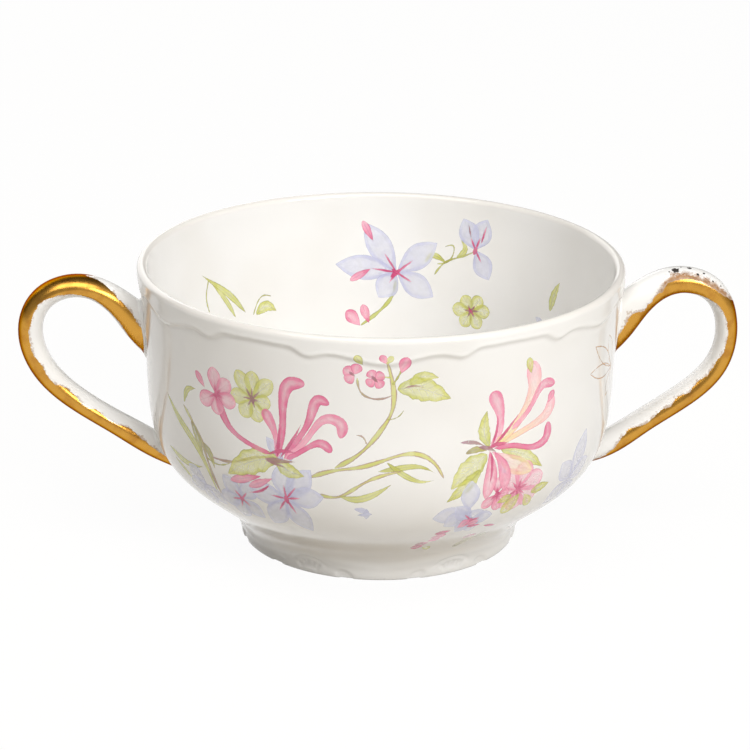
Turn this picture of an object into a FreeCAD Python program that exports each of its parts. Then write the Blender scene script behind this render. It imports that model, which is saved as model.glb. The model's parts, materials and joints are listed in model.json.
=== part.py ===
import FreeCAD, Part
import math
import os
from FreeCAD import Vector

# Bouillon cup: one piece of porcelain, a round bowl on a turned foot with two
# looped strap handles. Millimetres. The origin is the centre of the foot's
# resting face, +Z is up and the handles lie along +X and -X.

# Sizes of the bowl
CUP_HEIGHT = 57.2
RIM_RADIUS = 48.5
LIP_THICKNESS = 2.0
WALL_THICKNESS = 2.5
WALL_RADIUS = 47.3
WALL_HEIGHT = 38.0
BELLY_RADIUS = 43.5
BELLY_HEIGHT = 17.5
UNDERSIDE_RADIUS = 37.2
UNDERSIDE_HEIGHT = 11.1
UNDERSIDE_SLOPE = 26.0
FLOOR_THICKNESS = 3.0
FLOOR_FLAT_RADIUS = 17.0

# Sizes of the foot ring
FOOT_WAIST_RADIUS = 27.2
FOOT_WAIST_HEIGHT = 5.5
FOOT_COVE_RADIUS = 1.0
FOOT_BEAD_RADIUS = 28.6
FOOT_BEAD_HEIGHT = 2.8
FOOT_FACE_RADIUS = 28.0
FOOT_FACE_WIDTH = 1.8
FOOT_RECESS_DEPTH = 6.6
FOOT_RECESS_RADIUS = 23.6
FOOT_RECESS_COVE = 2.0

# Moulded bands: the rim and the foot stand proud of the wall between them.
# The lobes face -Y and every pitch from there, so the handles lie between two.
LOBES = 6
RELIEF = 0.3
RIM_BAND_DEPTH = 3.4
RIM_LOBE_DROP = 1.9
RIM_CUSP_DROP = 0.5
RIM_LOBE_FILL = 0.68
RIM_LOBE_STEP = 0.23
RIM_CUSP_SHARPNESS = 3.0
FOOT_SWAG_HEIGHT = 2.9
FOOT_SWAG_RISE = 1.9
FOOT_SWAG_POWER = 1.7
BAND_POINTS_PER_LOBE = 12

# Sizes of the strap handles: reaches are measured out from the rim, drops down
# from it, and the top, throat and middle are places on the strap's outer face
HANDLE_WIDTH = 7.0
HANDLE_ROOT_WIDTH = 8.0
HANDLE_REACH = 23.5
HANDLE_MIDDLE_DROP = 11.9
HANDLE_TOP_REACH = 10.8
HANDLE_TOP_DROP = 2.5
THROAT_REACH = 0.7
THROAT_DROP = 7.1
THROAT_SLOPE = 42.0
ELBOW_INSET = 1.6
ELBOW_DROP = 10.5
HIGH_ARM_BOW = 1.4
LOW_ARM_BOW = 0.8
SHOULDER_TURN = 50.0
UPPER_ROOT_DROP = 12.8
UPPER_ROOT_RISE = 2.4
LOWER_ROOT_HEIGHT = 17.4
LOWER_ROOT_OFFSET = 2.0
LOWER_TIP_HEIGHT = 12.9
ROOT_FLARE = 4.5
THROAT_FLARE = 1.7
ARM_STRAP = 4.6
LOWER_ROOT_STRAP = 4.8
STRAP_TIP = 2.0
STRAP_SECTIONS = 19
OVAL_POINTS = 10

# The handles were set on by hand: one hangs a little lower and is thicker
# at the top. The sag is measured square to the arm.
RIGHT_SAG = 0.9
RIGHT_TOP_STRAP = 5.4
RIGHT_OUTER_STRAP = 4.5
LEFT_SAG = -0.9
LEFT_TOP_STRAP = 4.4
LEFT_OUTER_STRAP = 4.9

OUTLINE_SAMPLES = 400
LIP_LEAN = 0.05

lip_round = LIP_THICKNESS / 2
lip_height = CUP_HEIGHT - lip_round
lobe_pitch = 360 / LOBES
up = Vector(0, 0, 1)
outward = Vector(1, 0, 0)
origin = Vector(0, 0, 0)


def spline(points, start, end):
    curve = Part.BSplineCurve()
    curve.interpolate(Points=points, InitialTangent=start, FinalTangent=end)
    return curve


def foot_curve():
    """Outside of the foot ring, from its resting face up to the waist."""
    points = [
        Vector(FOOT_FACE_RADIUS, 0, 0),
        Vector(FOOT_BEAD_RADIUS, 0, FOOT_BEAD_HEIGHT),
        Vector(FOOT_WAIST_RADIUS, 0, FOOT_WAIST_HEIGHT),
    ]
    return spline(points, outward + up, up)


def cove_curve():
    """Hollow corner between the foot's waist and the underside of the bowl."""
    centre = Vector(FOOT_WAIST_RADIUS + FOOT_COVE_RADIUS, 0, FOOT_WAIST_HEIGHT)
    end_turn = math.radians(90 + UNDERSIDE_SLOPE)
    middle_turn = (math.pi + end_turn) / 2
    points = []
    for turn in (math.pi, middle_turn, end_turn):
        points.append(centre + Vector(math.cos(turn), 0, math.sin(turn)) * FOOT_COVE_RADIUS)
    return Part.Arc(points[0], points[1], points[2])


def bowl_curve():
    """Outside of the bowl, from the cove up to the lip."""
    cove = cove_curve()
    slope = math.radians(UNDERSIDE_SLOPE)
    points = [
        cove.value(cove.LastParameter),
        Vector(UNDERSIDE_RADIUS, 0, UNDERSIDE_HEIGHT),
        Vector(BELLY_RADIUS, 0, BELLY_HEIGHT),
        Vector(WALL_RADIUS, 0, WALL_HEIGHT),
        Vector(RIM_RADIUS, 0, lip_height),
    ]
    return spline(points, Vector(math.cos(slope), 0, math.sin(slope)), up + outward * LIP_LEAN)


def curve_point(curve, height):
    """The point of an upright outline at a height."""
    points = curve.toShape().discretize(OUTLINE_SAMPLES)
    return min(points, key=lambda point: abs(point.z - height))


def inside_of(curve, point, depth=WALL_THICKNESS):
    """The point a depth inside a point of the outer curve, square to it."""
    tangent = curve.tangent(curve.parameter(point))[0]
    return point + Vector(-tangent.z, 0, tangent.x) * depth


def revolve(edges):
    """Solid of revolution about Z, closed along the axis."""
    wire = Part.Wire(edges)
    face = Part.Face(wire)
    return face.revolve(origin, up, 360)


def turned_blank(shift):
    """Bowl and foot before hollowing, with the outside moved in by shift."""
    move = Vector(-shift, 0, 0)
    foot = foot_curve()
    cove = cove_curve()
    bowl = bowl_curve()
    for curve in (foot, cove, bowl):
        curve.translate(move)
    face_edge = foot.value(foot.FirstParameter)
    lip_start = bowl.value(bowl.LastParameter)
    crest = lip_start + Vector(-lip_round, 0, lip_round)
    quarter = lip_round * math.sqrt(0.5)
    lip_middle = lip_start + Vector(quarter - lip_round, 0, quarter)
    lip = Part.Arc(lip_start, lip_middle, crest)
    centre_top = Vector(0, 0, CUP_HEIGHT)
    return revolve([
        Part.makeLine(origin, face_edge),
        foot.toShape(),
        cove.toShape(),
        bowl.toShape(),
        lip.toShape(),
        Part.makeLine(crest, centre_top),
        Part.makeLine(centre_top, origin),
    ])


def cavity():
    """The room inside the cup, open at the top."""
    bowl = bowl_curve()
    floor = FOOT_RECESS_DEPTH + FLOOR_THICKNESS
    crest = Vector(RIM_RADIUS - lip_round, 0, CUP_HEIGHT)
    lip_end = Vector(RIM_RADIUS - LIP_THICKNESS, 0, lip_height)
    quarter = lip_round * math.sqrt(0.5)
    lip_middle = crest + Vector(-quarter, 0, quarter - lip_round)
    points = [
        Vector(FLOOR_FLAT_RADIUS, 0, floor),
        inside_of(bowl, Vector(UNDERSIDE_RADIUS, 0, UNDERSIDE_HEIGHT)),
        inside_of(bowl, Vector(BELLY_RADIUS, 0, BELLY_HEIGHT)),
        inside_of(bowl, Vector(WALL_RADIUS, 0, WALL_HEIGHT)),
        lip_end,
    ]
    wall = spline(points, outward, up + outward * LIP_LEAN)
    above = Vector(0, 0, CUP_HEIGHT + lip_round)
    return revolve([
        Part.makeLine(Vector(0, 0, floor), points[0]),
        wall.toShape(),
        Part.Arc(lip_end, lip_middle, crest).toShape(),
        Part.makeLine(crest, crest + up * lip_round),
        Part.makeLine(crest + up * lip_round, above),
        Part.makeLine(above, Vector(0, 0, floor)),
    ])


def foot_recess():
    """The hollow under the foot, inside its ring."""
    mouth = Vector(FOOT_FACE_RADIUS - FOOT_FACE_WIDTH, 0, 0)
    roof = Vector(0, 0, FOOT_RECESS_DEPTH)
    side = Vector(FOOT_RECESS_RADIUS, 0, FOOT_RECESS_DEPTH - FOOT_RECESS_COVE)
    cove_end = Vector(FOOT_RECESS_RADIUS - FOOT_RECESS_COVE, 0, FOOT_RECESS_DEPTH)
    cove = spline([side, cove_end], up, outward * -1)
    return revolve([
        Part.makeLine(origin, mouth),
        Part.makeLine(mouth, side),
        cove.toShape(),
        Part.makeLine(cove_end, roof),
        Part.makeLine(roof, origin),
    ])


def smooth_step(value):
    value = min(max(value, 0), 1)
    return value * value * (3 - 2 * value)


def place_in_lobe(angle):
    """0 in the middle of a lobe, 1 halfway between two; one lobe faces -Y."""
    turned = (angle + 90) % lobe_pitch
    return min(turned, lobe_pitch - turned) / (lobe_pitch / 2)


def rim_line(angle):
    """Height of the rim band's lower edge: lobes with a cusp at each side."""
    place = place_in_lobe(angle)
    lobe = smooth_step((RIM_LOBE_FILL - place) / RIM_LOBE_STEP + 0.5)
    from_cusp = (place - RIM_LOBE_FILL) / RIM_LOBE_STEP + 1
    cusp = math.exp(-RIM_CUSP_SHARPNESS * from_cusp * from_cusp)
    return CUP_HEIGHT - RIM_BAND_DEPTH - RIM_LOBE_DROP * lobe - RIM_CUSP_DROP * cusp


def foot_line(angle):
    """Height of the foot band's upper edge: swags that meet in points."""
    return FOOT_SWAG_HEIGHT + FOOT_SWAG_RISE * place_in_lobe(angle) ** FOOT_SWAG_POWER


def lobe_edge(line, radius, lobe):
    """Edge round one lobe of the cup at a radius, its height given by line."""
    points = []
    for step in range(BAND_POINTS_PER_LOBE + 1):
        angle = lobe_pitch * (lobe - 0.5 + step / BAND_POINTS_PER_LOBE) - 90
        turn = math.radians(angle)
        points.append(Vector(radius * math.cos(turn), radius * math.sin(turn), line(angle)))
    curve = Part.BSplineCurve()
    curve.interpolate(Points=points)
    return curve.toShape()


def wall_between_bands():
    """Ring between the two lobed lines, wide enough to hold the whole wall."""
    near = FOOT_WAIST_RADIUS - WALL_THICKNESS
    far = RIM_RADIUS + WALL_THICKNESS
    faces = []
    for lobe in range(LOBES):
        low_near = lobe_edge(foot_line, near, lobe)
        low_far = lobe_edge(foot_line, far, lobe)
        high_near = lobe_edge(rim_line, near, lobe)
        high_far = lobe_edge(rim_line, far, lobe)
        faces.append(Part.makeRuledSurface(low_near, low_far))
        faces.append(Part.makeRuledSurface(high_near, high_far))
        faces.append(Part.makeRuledSurface(low_near, high_near))
        faces.append(Part.makeRuledSurface(low_far, high_far))
    shell = Part.makeShell(faces)
    shell.sewShape()
    ring = Part.makeSolid(shell)
    if ring.Volume < 0:
        ring.reverse()
    return ring


def strap_stations(sag, top_strap, outer_strap):
    """Centre, thickness and width of the strap from its upper to its lower root."""
    bowl = bowl_curve()
    root = curve_point(bowl, CUP_HEIGHT - UPPER_ROOT_DROP - sag / 2)
    inner_end = root - Vector(2 * WALL_THICKNESS, 0, UPPER_ROOT_RISE)
    root_strap = top_strap + ROOT_FLARE
    top_height = CUP_HEIGHT - HANDLE_TOP_DROP - top_strap / 2
    top = Vector(RIM_RADIUS + HANDLE_TOP_REACH, 0, top_height)
    outside_radius = RIM_RADIUS + HANDLE_REACH - outer_strap / 2
    outside = Vector(outside_radius, 0, CUP_HEIGHT - HANDLE_MIDDLE_DROP)
    turn = math.radians(SHOULDER_TURN)
    shoulder = Vector(
        top.x + (outside.x - top.x) * math.sin(turn), 0,
        outside.z + (top.z - outside.z) * math.cos(turn),
    )
    elbow = outside - Vector(ELBOW_INSET, 0, ELBOW_DROP)
    joint = curve_point(bowl, LOWER_ROOT_HEIGHT) + outward * LOWER_ROOT_OFFSET
    arm_way = (joint - elbow).normalize()
    below = Vector(-arm_way.z, 0, arm_way.x)
    elbow = elbow + below * sag
    joint = joint + below * sag
    arm = joint - elbow
    high_arm = elbow + arm / 3 + below * HIGH_ARM_BOW
    low_arm = joint - arm / 3 + below * LOW_ARM_BOW
    tip = inside_of(bowl, curve_point(bowl, LOWER_TIP_HEIGHT), WALL_THICKNESS / 2)
    slope = math.radians(THROAT_SLOPE)
    throat_strap = top_strap + THROAT_FLARE
    throat_face = Vector(RIM_RADIUS + THROAT_REACH, 0, CUP_HEIGHT - THROAT_DROP)
    throat = throat_face + Vector(math.sin(slope), 0, -math.cos(slope)) * (throat_strap / 2)
    return [
        (inner_end, root_strap, HANDLE_ROOT_WIDTH),
        (root, root_strap, HANDLE_ROOT_WIDTH),
        (throat, throat_strap, HANDLE_WIDTH),
        (top, top_strap, HANDLE_WIDTH),
        (shoulder, (top_strap + outer_strap) / 2, HANDLE_WIDTH),
        (outside, outer_strap, HANDLE_WIDTH),
        (elbow, outer_strap, HANDLE_WIDTH),
        (high_arm, ARM_STRAP, HANDLE_WIDTH),
        (low_arm, ARM_STRAP, HANDLE_WIDTH),
        (joint, LOWER_ROOT_STRAP, HANDLE_WIDTH),
        (tip, STRAP_TIP, HANDLE_ROOT_WIDTH),
    ]


def strap_section(centre, along, thickness, width):
    """Oval outline across the strap, its long way along Y."""
    across = Vector(along.z, 0, -along.x).normalize() * (thickness / 2)
    side = Vector(0, width / 2, 0)
    points = []
    for step in range(OVAL_POINTS):
        turn = 2 * math.pi * step / OVAL_POINTS
        points.append(centre + across * math.cos(turn) + side * math.sin(turn))
    oval = Part.BSplineCurve()
    oval.interpolate(Points=points, PeriodicFlag=True)
    return Part.Wire(oval.toShape())


def strap_handle(sag, top_strap, outer_strap):
    """One looped handle on the +X side, its ends running into the wall."""
    stations = strap_stations(sag, top_strap, outer_strap)
    travelled = [0]
    for before, after in zip(stations, stations[1:]):
        travelled.append(travelled[-1] + (after[0] - before[0]).Length)
    path = Part.BSplineCurve()
    path.interpolate(Points=[station[0] for station in stations], Parameters=travelled)
    size_points = [Vector(row[1], row[2], place) for row, place in zip(stations, travelled)]
    sizes = Part.BSplineCurve()
    sizes.interpolate(Points=size_points, Parameters=travelled)
    wires = []
    for section in range(STRAP_SECTIONS):
        place = travelled[-1] * section / (STRAP_SECTIONS - 1)
        size = sizes.value(place)
        along = path.tangent(place)[0]
        wires.append(strap_section(path.value(place), along, size.x, size.y))
    return Part.makeLoft(wires, True, False)


right_handle = strap_handle(RIGHT_SAG, RIGHT_TOP_STRAP, RIGHT_OUTER_STRAP)
left_handle = strap_handle(LEFT_SAG, LEFT_TOP_STRAP, LEFT_OUTER_STRAP)
left_handle.rotate(origin, up, 180)

relief = wall_between_bands().cut(turned_blank(RELIEF))
cup = turned_blank(0).cut(relief)
cup = cup.fuse([right_handle, left_handle])
cup = cup.cut(cavity())
cup = cup.cut(foot_recess())
print("cup", cup.isValid(), "solids", len(cup.Solids), "volume", round(cup.Volume))

os.makedirs("parts", exist_ok=True)
cup.exportStep("parts/bouillon_cup.step")
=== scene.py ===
# %% [markdown]
# # A bouillon cup, from glaze to gilding
# The cup is one piece of porcelain: a lathe-turned bowl on a low foot, with two
# looped strap handles stuck on while the clay was soft. This script dresses the
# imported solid. It builds a smoother copy of the same form, with the soft relief
# that a mould leaves, then glazes it, gilds the handles and paints the flowers.

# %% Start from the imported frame
import json
import math

import bpy
import numpy as np
from mathutils import Matrix, Vector

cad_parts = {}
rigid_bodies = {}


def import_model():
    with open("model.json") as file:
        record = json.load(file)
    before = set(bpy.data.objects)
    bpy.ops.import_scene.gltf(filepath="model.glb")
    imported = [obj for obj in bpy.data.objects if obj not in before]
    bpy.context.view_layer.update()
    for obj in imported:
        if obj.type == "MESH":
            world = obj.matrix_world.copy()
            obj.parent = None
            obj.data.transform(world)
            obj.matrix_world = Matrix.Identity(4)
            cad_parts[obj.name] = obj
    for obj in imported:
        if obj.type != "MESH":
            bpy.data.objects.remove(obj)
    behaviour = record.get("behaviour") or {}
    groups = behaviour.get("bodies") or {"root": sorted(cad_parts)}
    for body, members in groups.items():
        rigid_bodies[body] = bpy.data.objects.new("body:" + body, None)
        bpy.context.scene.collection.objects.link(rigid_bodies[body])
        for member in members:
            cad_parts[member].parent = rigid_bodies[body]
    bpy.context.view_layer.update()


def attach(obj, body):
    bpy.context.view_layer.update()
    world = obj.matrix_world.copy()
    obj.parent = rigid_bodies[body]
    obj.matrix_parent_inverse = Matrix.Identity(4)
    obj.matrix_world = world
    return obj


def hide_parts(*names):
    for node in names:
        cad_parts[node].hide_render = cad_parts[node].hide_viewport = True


for starter in list(bpy.data.objects):
    bpy.data.objects.remove(starter)
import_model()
MM = 0.001

# %% [markdown]
# ## The sizes
# These are the sizes of the solid, in millimetres, so that the dressed cup keeps
# its form. Only the hollow above the foot is softer here. Heights are measured
# from the table and radii from the bowl's axis.

# %% Sizes of the bowl and the foot
CUP_HEIGHT = 57.2
RIM_RADIUS = 48.5
LIP_ROUND = 1.0
WALL_THICKNESS = 2.5
WALL_RADIUS, WALL_HEIGHT = 47.3, 38.0
BELLY_RADIUS, BELLY_HEIGHT = 43.5, 17.5
UNDERSIDE_RADIUS, UNDERSIDE_HEIGHT = 37.3, 11.5
COVE_RADIUS, COVE_HEIGHT = 33.8, 8.75
LIP_LEAN = 0.05
FLOOR_HEIGHT = 9.6
FLOOR_FLAT_RADIUS = 17.0
FOOT_TOP_RADIUS, FOOT_TOP_HEIGHT = 29.5, 4.3
FOOT_TOP_SLOPE = math.radians(56)
FOOT_BAND_RADIUS, FOOT_BAND_HEIGHT = 28.3, 2.0
FOOT_FACE_RADIUS, FOOT_FACE_INNER = 28.0, 26.2
RECESS_RADIUS, RECESS_DEPTH, RECESS_COVE = 23.6, 6.6, 2.0

# %% [markdown]
# ## Curves through a few points
# A potter's template is a smooth curve through a few fixed places. A cubic
# spline does the same: each stretch is a cubic, and neighbours share their
# slope and curvature. Its knots are the distances between the points.

# %% A cubic spline
def unit(vector):
    """The same direction with length 1."""
    vector = np.asarray(vector, float)
    return vector / np.linalg.norm(vector)


class Curve:
    """Cubic spline through points. Start and end may fix its directions."""

    def __init__(self, points, start=None, end=None):
        self.points = np.asarray(points, float)
        steps = np.linalg.norm(np.diff(self.points[:, :2], axis=0), axis=1)
        self.knots = np.concatenate(([0], np.cumsum(steps)))
        self.length = self.knots[-1]
        count = len(self.points)
        system = np.zeros((count, count))
        sides = np.zeros_like(self.points)
        for i in range(1, count - 1):
            before, after = 1 / steps[i - 1], 1 / steps[i]
            system[i, i - 1:i + 2] = before, 2 * (before + after), after
            sides[i] = 3 * ((self.points[i] - self.points[i - 1]) * before ** 2
                            + (self.points[i + 1] - self.points[i]) * after ** 2)
        for row, direction, step, near, far in ((0, start, steps[0], 0, 1), (-1, end, steps[-1], -2, -1)):
            if direction is None:
                system[row, row] = 2
                system[row, 1 if row == 0 else -2] = 1
                sides[row] = 3 * (self.points[far] - self.points[near]) / step
            else:
                system[row, row] = 1
                sides[row, :2] = unit(direction)
        self.slopes = np.linalg.solve(system, sides)

    def at(self, place):
        """Points at distances along the curve."""
        place = np.clip(np.atleast_1d(place), 0, self.length)
        i = np.clip(np.searchsorted(self.knots, place, side="right") - 1, 0, len(self.knots) - 2)
        step = (self.knots[i + 1] - self.knots[i])[:, None]
        t = (place - self.knots[i])[:, None] / step
        start, end = self.points[i], self.points[i + 1]
        leave, arrive = self.slopes[i] * step, self.slopes[i + 1] * step
        return (start * (1 + 2 * t) * (1 - t) ** 2 + end * t * t * (3 - 2 * t)
                + leave * t * (1 - t) ** 2 - arrive * t * t * (1 - t))

    def along(self, place, reach=0.01):
        """Directions of the curve at distances along it."""
        ahead = self.at(np.asarray(place) + reach) - self.at(np.asarray(place) - reach)
        return ahead[:, :2] / np.linalg.norm(ahead[:, :2], axis=1)[:, None]


def stepped(curve, spacing):
    """Points along a curve, about a spacing apart."""
    count = max(2, round(curve.length / spacing) + 1)
    return curve.at(np.linspace(0, curve.length, count))[:, :2]


def smooth_step(value):
    """0 below 0, 1 above 1, and an S-bend between them."""
    value = np.clip(value, 0, 1)
    return value * value * (3 - 2 * value)


# %% [markdown]
# ## The turned profile
# One outline, spun round the axis, gives the whole bowl: the ring it stands on,
# the hollow above it, the belly, the lip and then down inside to the floor. Points
# are close together where the relief is fine and further apart on plain stretches.

# %% The outline from the middle underneath to the middle inside
def arc(centre, radius, first, last, count):
    """Points of a round stretch, from one angle in degrees to another."""
    turns = np.radians(np.linspace(first, last, count))
    return np.column_stack((centre[0] + radius * np.cos(turns), centre[1] + radius * np.sin(turns)))


LIP_CENTRE = (RIM_RADIUS - LIP_ROUND, CUP_HEIGHT - LIP_ROUND)
FOOT_LEAN = 0.4
foot_top_way = (math.cos(FOOT_TOP_SLOPE), math.sin(FOOT_TOP_SLOPE))
foot_outline = Curve(
    [(FOOT_FACE_RADIUS, 0), (FOOT_BAND_RADIUS, FOOT_BAND_HEIGHT), (FOOT_TOP_RADIUS, FOOT_TOP_HEIGHT)],
    (FOOT_LEAN, 1), foot_top_way)
bowl_outline = Curve(
    [(FOOT_TOP_RADIUS, FOOT_TOP_HEIGHT), (COVE_RADIUS, COVE_HEIGHT), (UNDERSIDE_RADIUS, UNDERSIDE_HEIGHT),
     (BELLY_RADIUS, BELLY_HEIGHT), (WALL_RADIUS, WALL_HEIGHT), (RIM_RADIUS, LIP_CENTRE[1])],
    foot_top_way, (LIP_LEAN, 1))
inner_points = [(FLOOR_FLAT_RADIUS, FLOOR_HEIGHT)]
for knot in bowl_outline.knots[2:-1]:
    direction = bowl_outline.along(knot)[0]
    inward = np.array((-direction[1], direction[0]))
    inner_points.append(bowl_outline.at(knot)[0] + inward * WALL_THICKNESS)
inner_points.append((RIM_RADIUS - 2 * LIP_ROUND, LIP_CENTRE[1]))
inside_outline = Curve(inner_points, (1, 0), (LIP_LEAN, 1))
recess_cove = Curve(
    [(RECESS_RADIUS, RECESS_DEPTH - RECESS_COVE), (RECESS_RADIUS - RECESS_COVE, RECESS_DEPTH)],
    (0, 1), (-1, 0))

# How close the points lie, and the rings on the two flat discs
FINE, MIDDLE, COVED, COARSE = 0.27, 0.8, 0.6, 1.8
LIP_POINTS = 13
UNDER_RINGS, FLOOR_RINGS, FIRST_RING = 8, 6, 1.5
FACE_BEVEL, FACE_BEVEL_START, FACE_BEVEL_RISE = 0.35, 0.1, 0.25
RIM_RELIEF_FROM = 50.0
SEARCHED = 500
searched = bowl_outline.at(np.linspace(0, bowl_outline.length, SEARCHED))
relief_start = bowl_outline.length * np.searchsorted(searched[:, 1], RIM_RELIEF_FROM) / (SEARCHED - 1)
lower_wall = bowl_outline.at(np.linspace(0, relief_start, round(relief_start / MIDDLE)))[:, :2]
upper_length = bowl_outline.length - relief_start
upper_wall = bowl_outline.at(relief_start + np.linspace(0, upper_length, round(upper_length / FINE)))[:, :2]
under_rings = np.linspace(FIRST_RING, RECESS_RADIUS - RECESS_COVE - 1, UNDER_RINGS)
floor_rings = np.linspace(FLOOR_FLAT_RADIUS - 2, FIRST_RING, FLOOR_RINGS)
outline = np.vstack([
    np.column_stack((under_rings, np.full(UNDER_RINGS, RECESS_DEPTH))),
    stepped(recess_cove, COVED)[::-1],
    [(FOOT_FACE_INNER + FACE_BEVEL_START, FACE_BEVEL_RISE), (FOOT_FACE_INNER + FACE_BEVEL, 0)],
    [(FOOT_FACE_RADIUS - FACE_BEVEL, 0)],
    stepped(foot_outline, FINE)[:-1],
    lower_wall[:-1],
    upper_wall,
    arc(LIP_CENTRE, LIP_ROUND, 0, 180, LIP_POINTS)[1:],
    stepped(inside_outline, COARSE)[::-1][1:],
    np.column_stack((floor_rings, np.full(FLOOR_RINGS, FLOOR_HEIGHT))),
])
tangent = np.gradient(outline, axis=0)
tangent /= np.linalg.norm(tangent, axis=1)[:, None]
outline_normal = np.column_stack((tangent[:, 1], -tangent[:, 0]))
print("outline points:", len(outline))

# %% [markdown]
# ## The moulded bands
# The rim and the foot stand a little proud of the wall, and the edges between
# them are scalloped: lobes that drop from the rim, and swags that rise from the
# foot to points, with a small pressed fan below each point. Real relief is soft
# because the glaze fills it, so each step is spread over about a millimetre.

# %% Relief as a height over the plain outline
LOBES = 6
LOBE_PITCH = 360 / LOBES
PATTERN_TURN = -3.6
RELIEF = 0.34
RELIEF_SOFTNESS = 0.9
# The rim band's lower edge: degrees from a lobe's middle and drop below the rim
RIM_EDGE = ((0, 5.2), (12.3, 3.5), (17.3, 4.3), (22, 2.7), (30, 2.55))
FOOT_SWAG_HEIGHT, FOOT_SWAG_RISE, FOOT_SWAG_POWER = 3.1, 2.2, 1.2
FOOT_SOFTNESS = 1.7
BEAD_HEIGHT, BEAD_WIDTH, BEAD_PLACE = 0.08, 0.45, 0.35
GROOVE_DEPTH, GROOVE_WIDTH, GROOVE_PLACE = 0.06, 0.45, 0.8
# The pressed fans: flutes that spread from a point below the foot's face
FAN_LEANS = (-34, -17, 0, 17, 34)
FAN_PIVOT, FLUTE_FROM, FLUTE_TO, FLUTE_FADE = -1.3, 2.3, 4.5, 0.6
FLUTE_RADIUS, FLUTE_DEPTH, FLUTE_FLANK = 0.42, 0.3, 1.2
SHELL_RADIUS, SHELL_WIDTH, SHELL_DEPTH = 5.1, 0.35, 0.18
SHELL_LEAN, SHELL_LEAN_FADE = 58, 14
# The hollow scroll each side of a fan
HOLLOW_ASIDE, HOLLOW_HEIGHT, HOLLOW_TILT = 7.6, 0.7, 0.5
HOLLOW_LENGTH, HOLLOW_RISE, HOLLOW_DEPTH, HOLLOW_FLANK = 2.2, 1.2, 0.3, 2.2


def place_in_lobe(angle):
    """0 in the middle of a lobe and 1 halfway to the next. One lobe faces the front."""
    turned = np.mod(angle - PATTERN_TURN, LOBE_PITCH)
    return np.minimum(turned, LOBE_PITCH - turned) / (LOBE_PITCH / 2)


def rim_line(angle):
    """Height of the rim band's edge, an S-bend between one turning point and the next."""
    place = place_in_lobe(angle) * LOBE_PITCH / 2
    drop = np.full(np.shape(place), float(RIM_EDGE[0][1]))
    for (start, high), (end, low) in zip(RIM_EDGE, RIM_EDGE[1:]):
        drop = drop + (low - high) * smooth_step((place - start) / (end - start))
    return CUP_HEIGHT - drop


def foot_line(angle):
    """Height of the foot band's edge, a swag from one fan to the next."""
    return FOOT_SWAG_HEIGHT + FOOT_SWAG_RISE * place_in_lobe(angle) ** FOOT_SWAG_POWER


def pressed_foot(angle, height):
    """Depth of the fans and scrolls pressed into the foot."""
    turned = np.mod(angle - PATTERN_TURN, LOBE_PITCH) - LOBE_PITCH / 2
    across = np.radians(turned) * FOOT_BAND_RADIUS
    above = height - FAN_PIVOT
    reach = np.hypot(across, above)
    lean = np.degrees(np.arctan2(across, above))
    within = smooth_step((reach - FLUTE_FROM) / FLUTE_FADE) * smooth_step((FLUTE_TO - reach) / FLUTE_FADE)
    depth = np.zeros(np.shape(reach))
    for middle in FAN_LEANS:
        aside = np.radians(np.abs(lean - middle)) * reach
        depth = np.maximum(depth, FLUTE_DEPTH * within * smooth_step(FLUTE_FLANK - aside / FLUTE_RADIUS))
    shell = np.exp(-((reach - SHELL_RADIUS) / SHELL_WIDTH) ** 2)
    shell = shell * smooth_step((SHELL_LEAN - np.abs(lean)) / SHELL_LEAN_FADE)
    along = (np.abs(across) - HOLLOW_ASIDE) / HOLLOW_LENGTH
    up = (height - HOLLOW_HEIGHT + along * HOLLOW_TILT) / HOLLOW_RISE
    hollow = smooth_step((1 - np.hypot(along, up)) * HOLLOW_FLANK)
    return np.maximum(np.maximum(depth, SHELL_DEPTH * shell), HOLLOW_DEPTH * hollow)


def relief(angle, height):
    """How far the surface stands from the plain outline, in millimetres."""
    from_rim = rim_line(angle) - height
    from_foot = height - foot_line(angle)
    sunk = smooth_step(from_rim / RELIEF_SOFTNESS + 0.5) * smooth_step(from_foot / FOOT_SOFTNESS + 0.5)
    bead = BEAD_HEIGHT * np.exp(-((from_rim + BEAD_PLACE) / BEAD_WIDTH) ** 2)
    groove = GROOVE_DEPTH * np.exp(-((from_rim - GROOVE_PLACE) / GROOVE_WIDTH) ** 2)
    return bead - groove - RELIEF * sunk - pressed_foot(angle, height)


# %% Spin the outline into a closed mesh
TURNS = 420


def make_mesh(name, points, faces):
    """A smooth-shaded piece from points in millimetres."""
    mesh = bpy.data.meshes.new(name)
    mesh.from_pydata((np.asarray(points) * MM).tolist(), [], faces)
    mesh.update()
    piece = bpy.data.objects.new(name, mesh)
    bpy.context.scene.collection.objects.link(piece)
    for polygon in mesh.polygons:
        polygon.use_smooth = True
    return piece


def at_angle(radius, angle, height):
    """A point from its radius, its angle in degrees from the front, and its height."""
    turn = np.radians(angle)
    return np.stack(np.broadcast_arrays(radius * np.sin(turn), -radius * np.cos(turn), height), axis=-1)


def grid_faces(rows, columns, closed):
    """Quads between the rows of a grid, wrapping round when it is closed."""
    faces = []
    for row in range(rows - 1):
        for column in range(columns if closed else columns - 1):
            beside = (column + 1) % columns
            faces.append((row * columns + column, row * columns + beside,
                          (row + 1) * columns + beside, (row + 1) * columns + column))
    return faces


def closed_tube(name, grid, ends):
    """A mesh from rings of points, closed by a middle point at each end."""
    rows, columns = grid.shape[:2]
    count = rows * columns
    faces = grid_faces(rows, columns, True)
    for column in range(columns):
        beside = (column + 1) % columns
        faces.append((count, beside, column))
        faces.append((count + 1, count - columns + column, count - columns + beside))
    return make_mesh(name, np.vstack([grid.reshape(-1, 3), ends]), faces)


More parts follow.
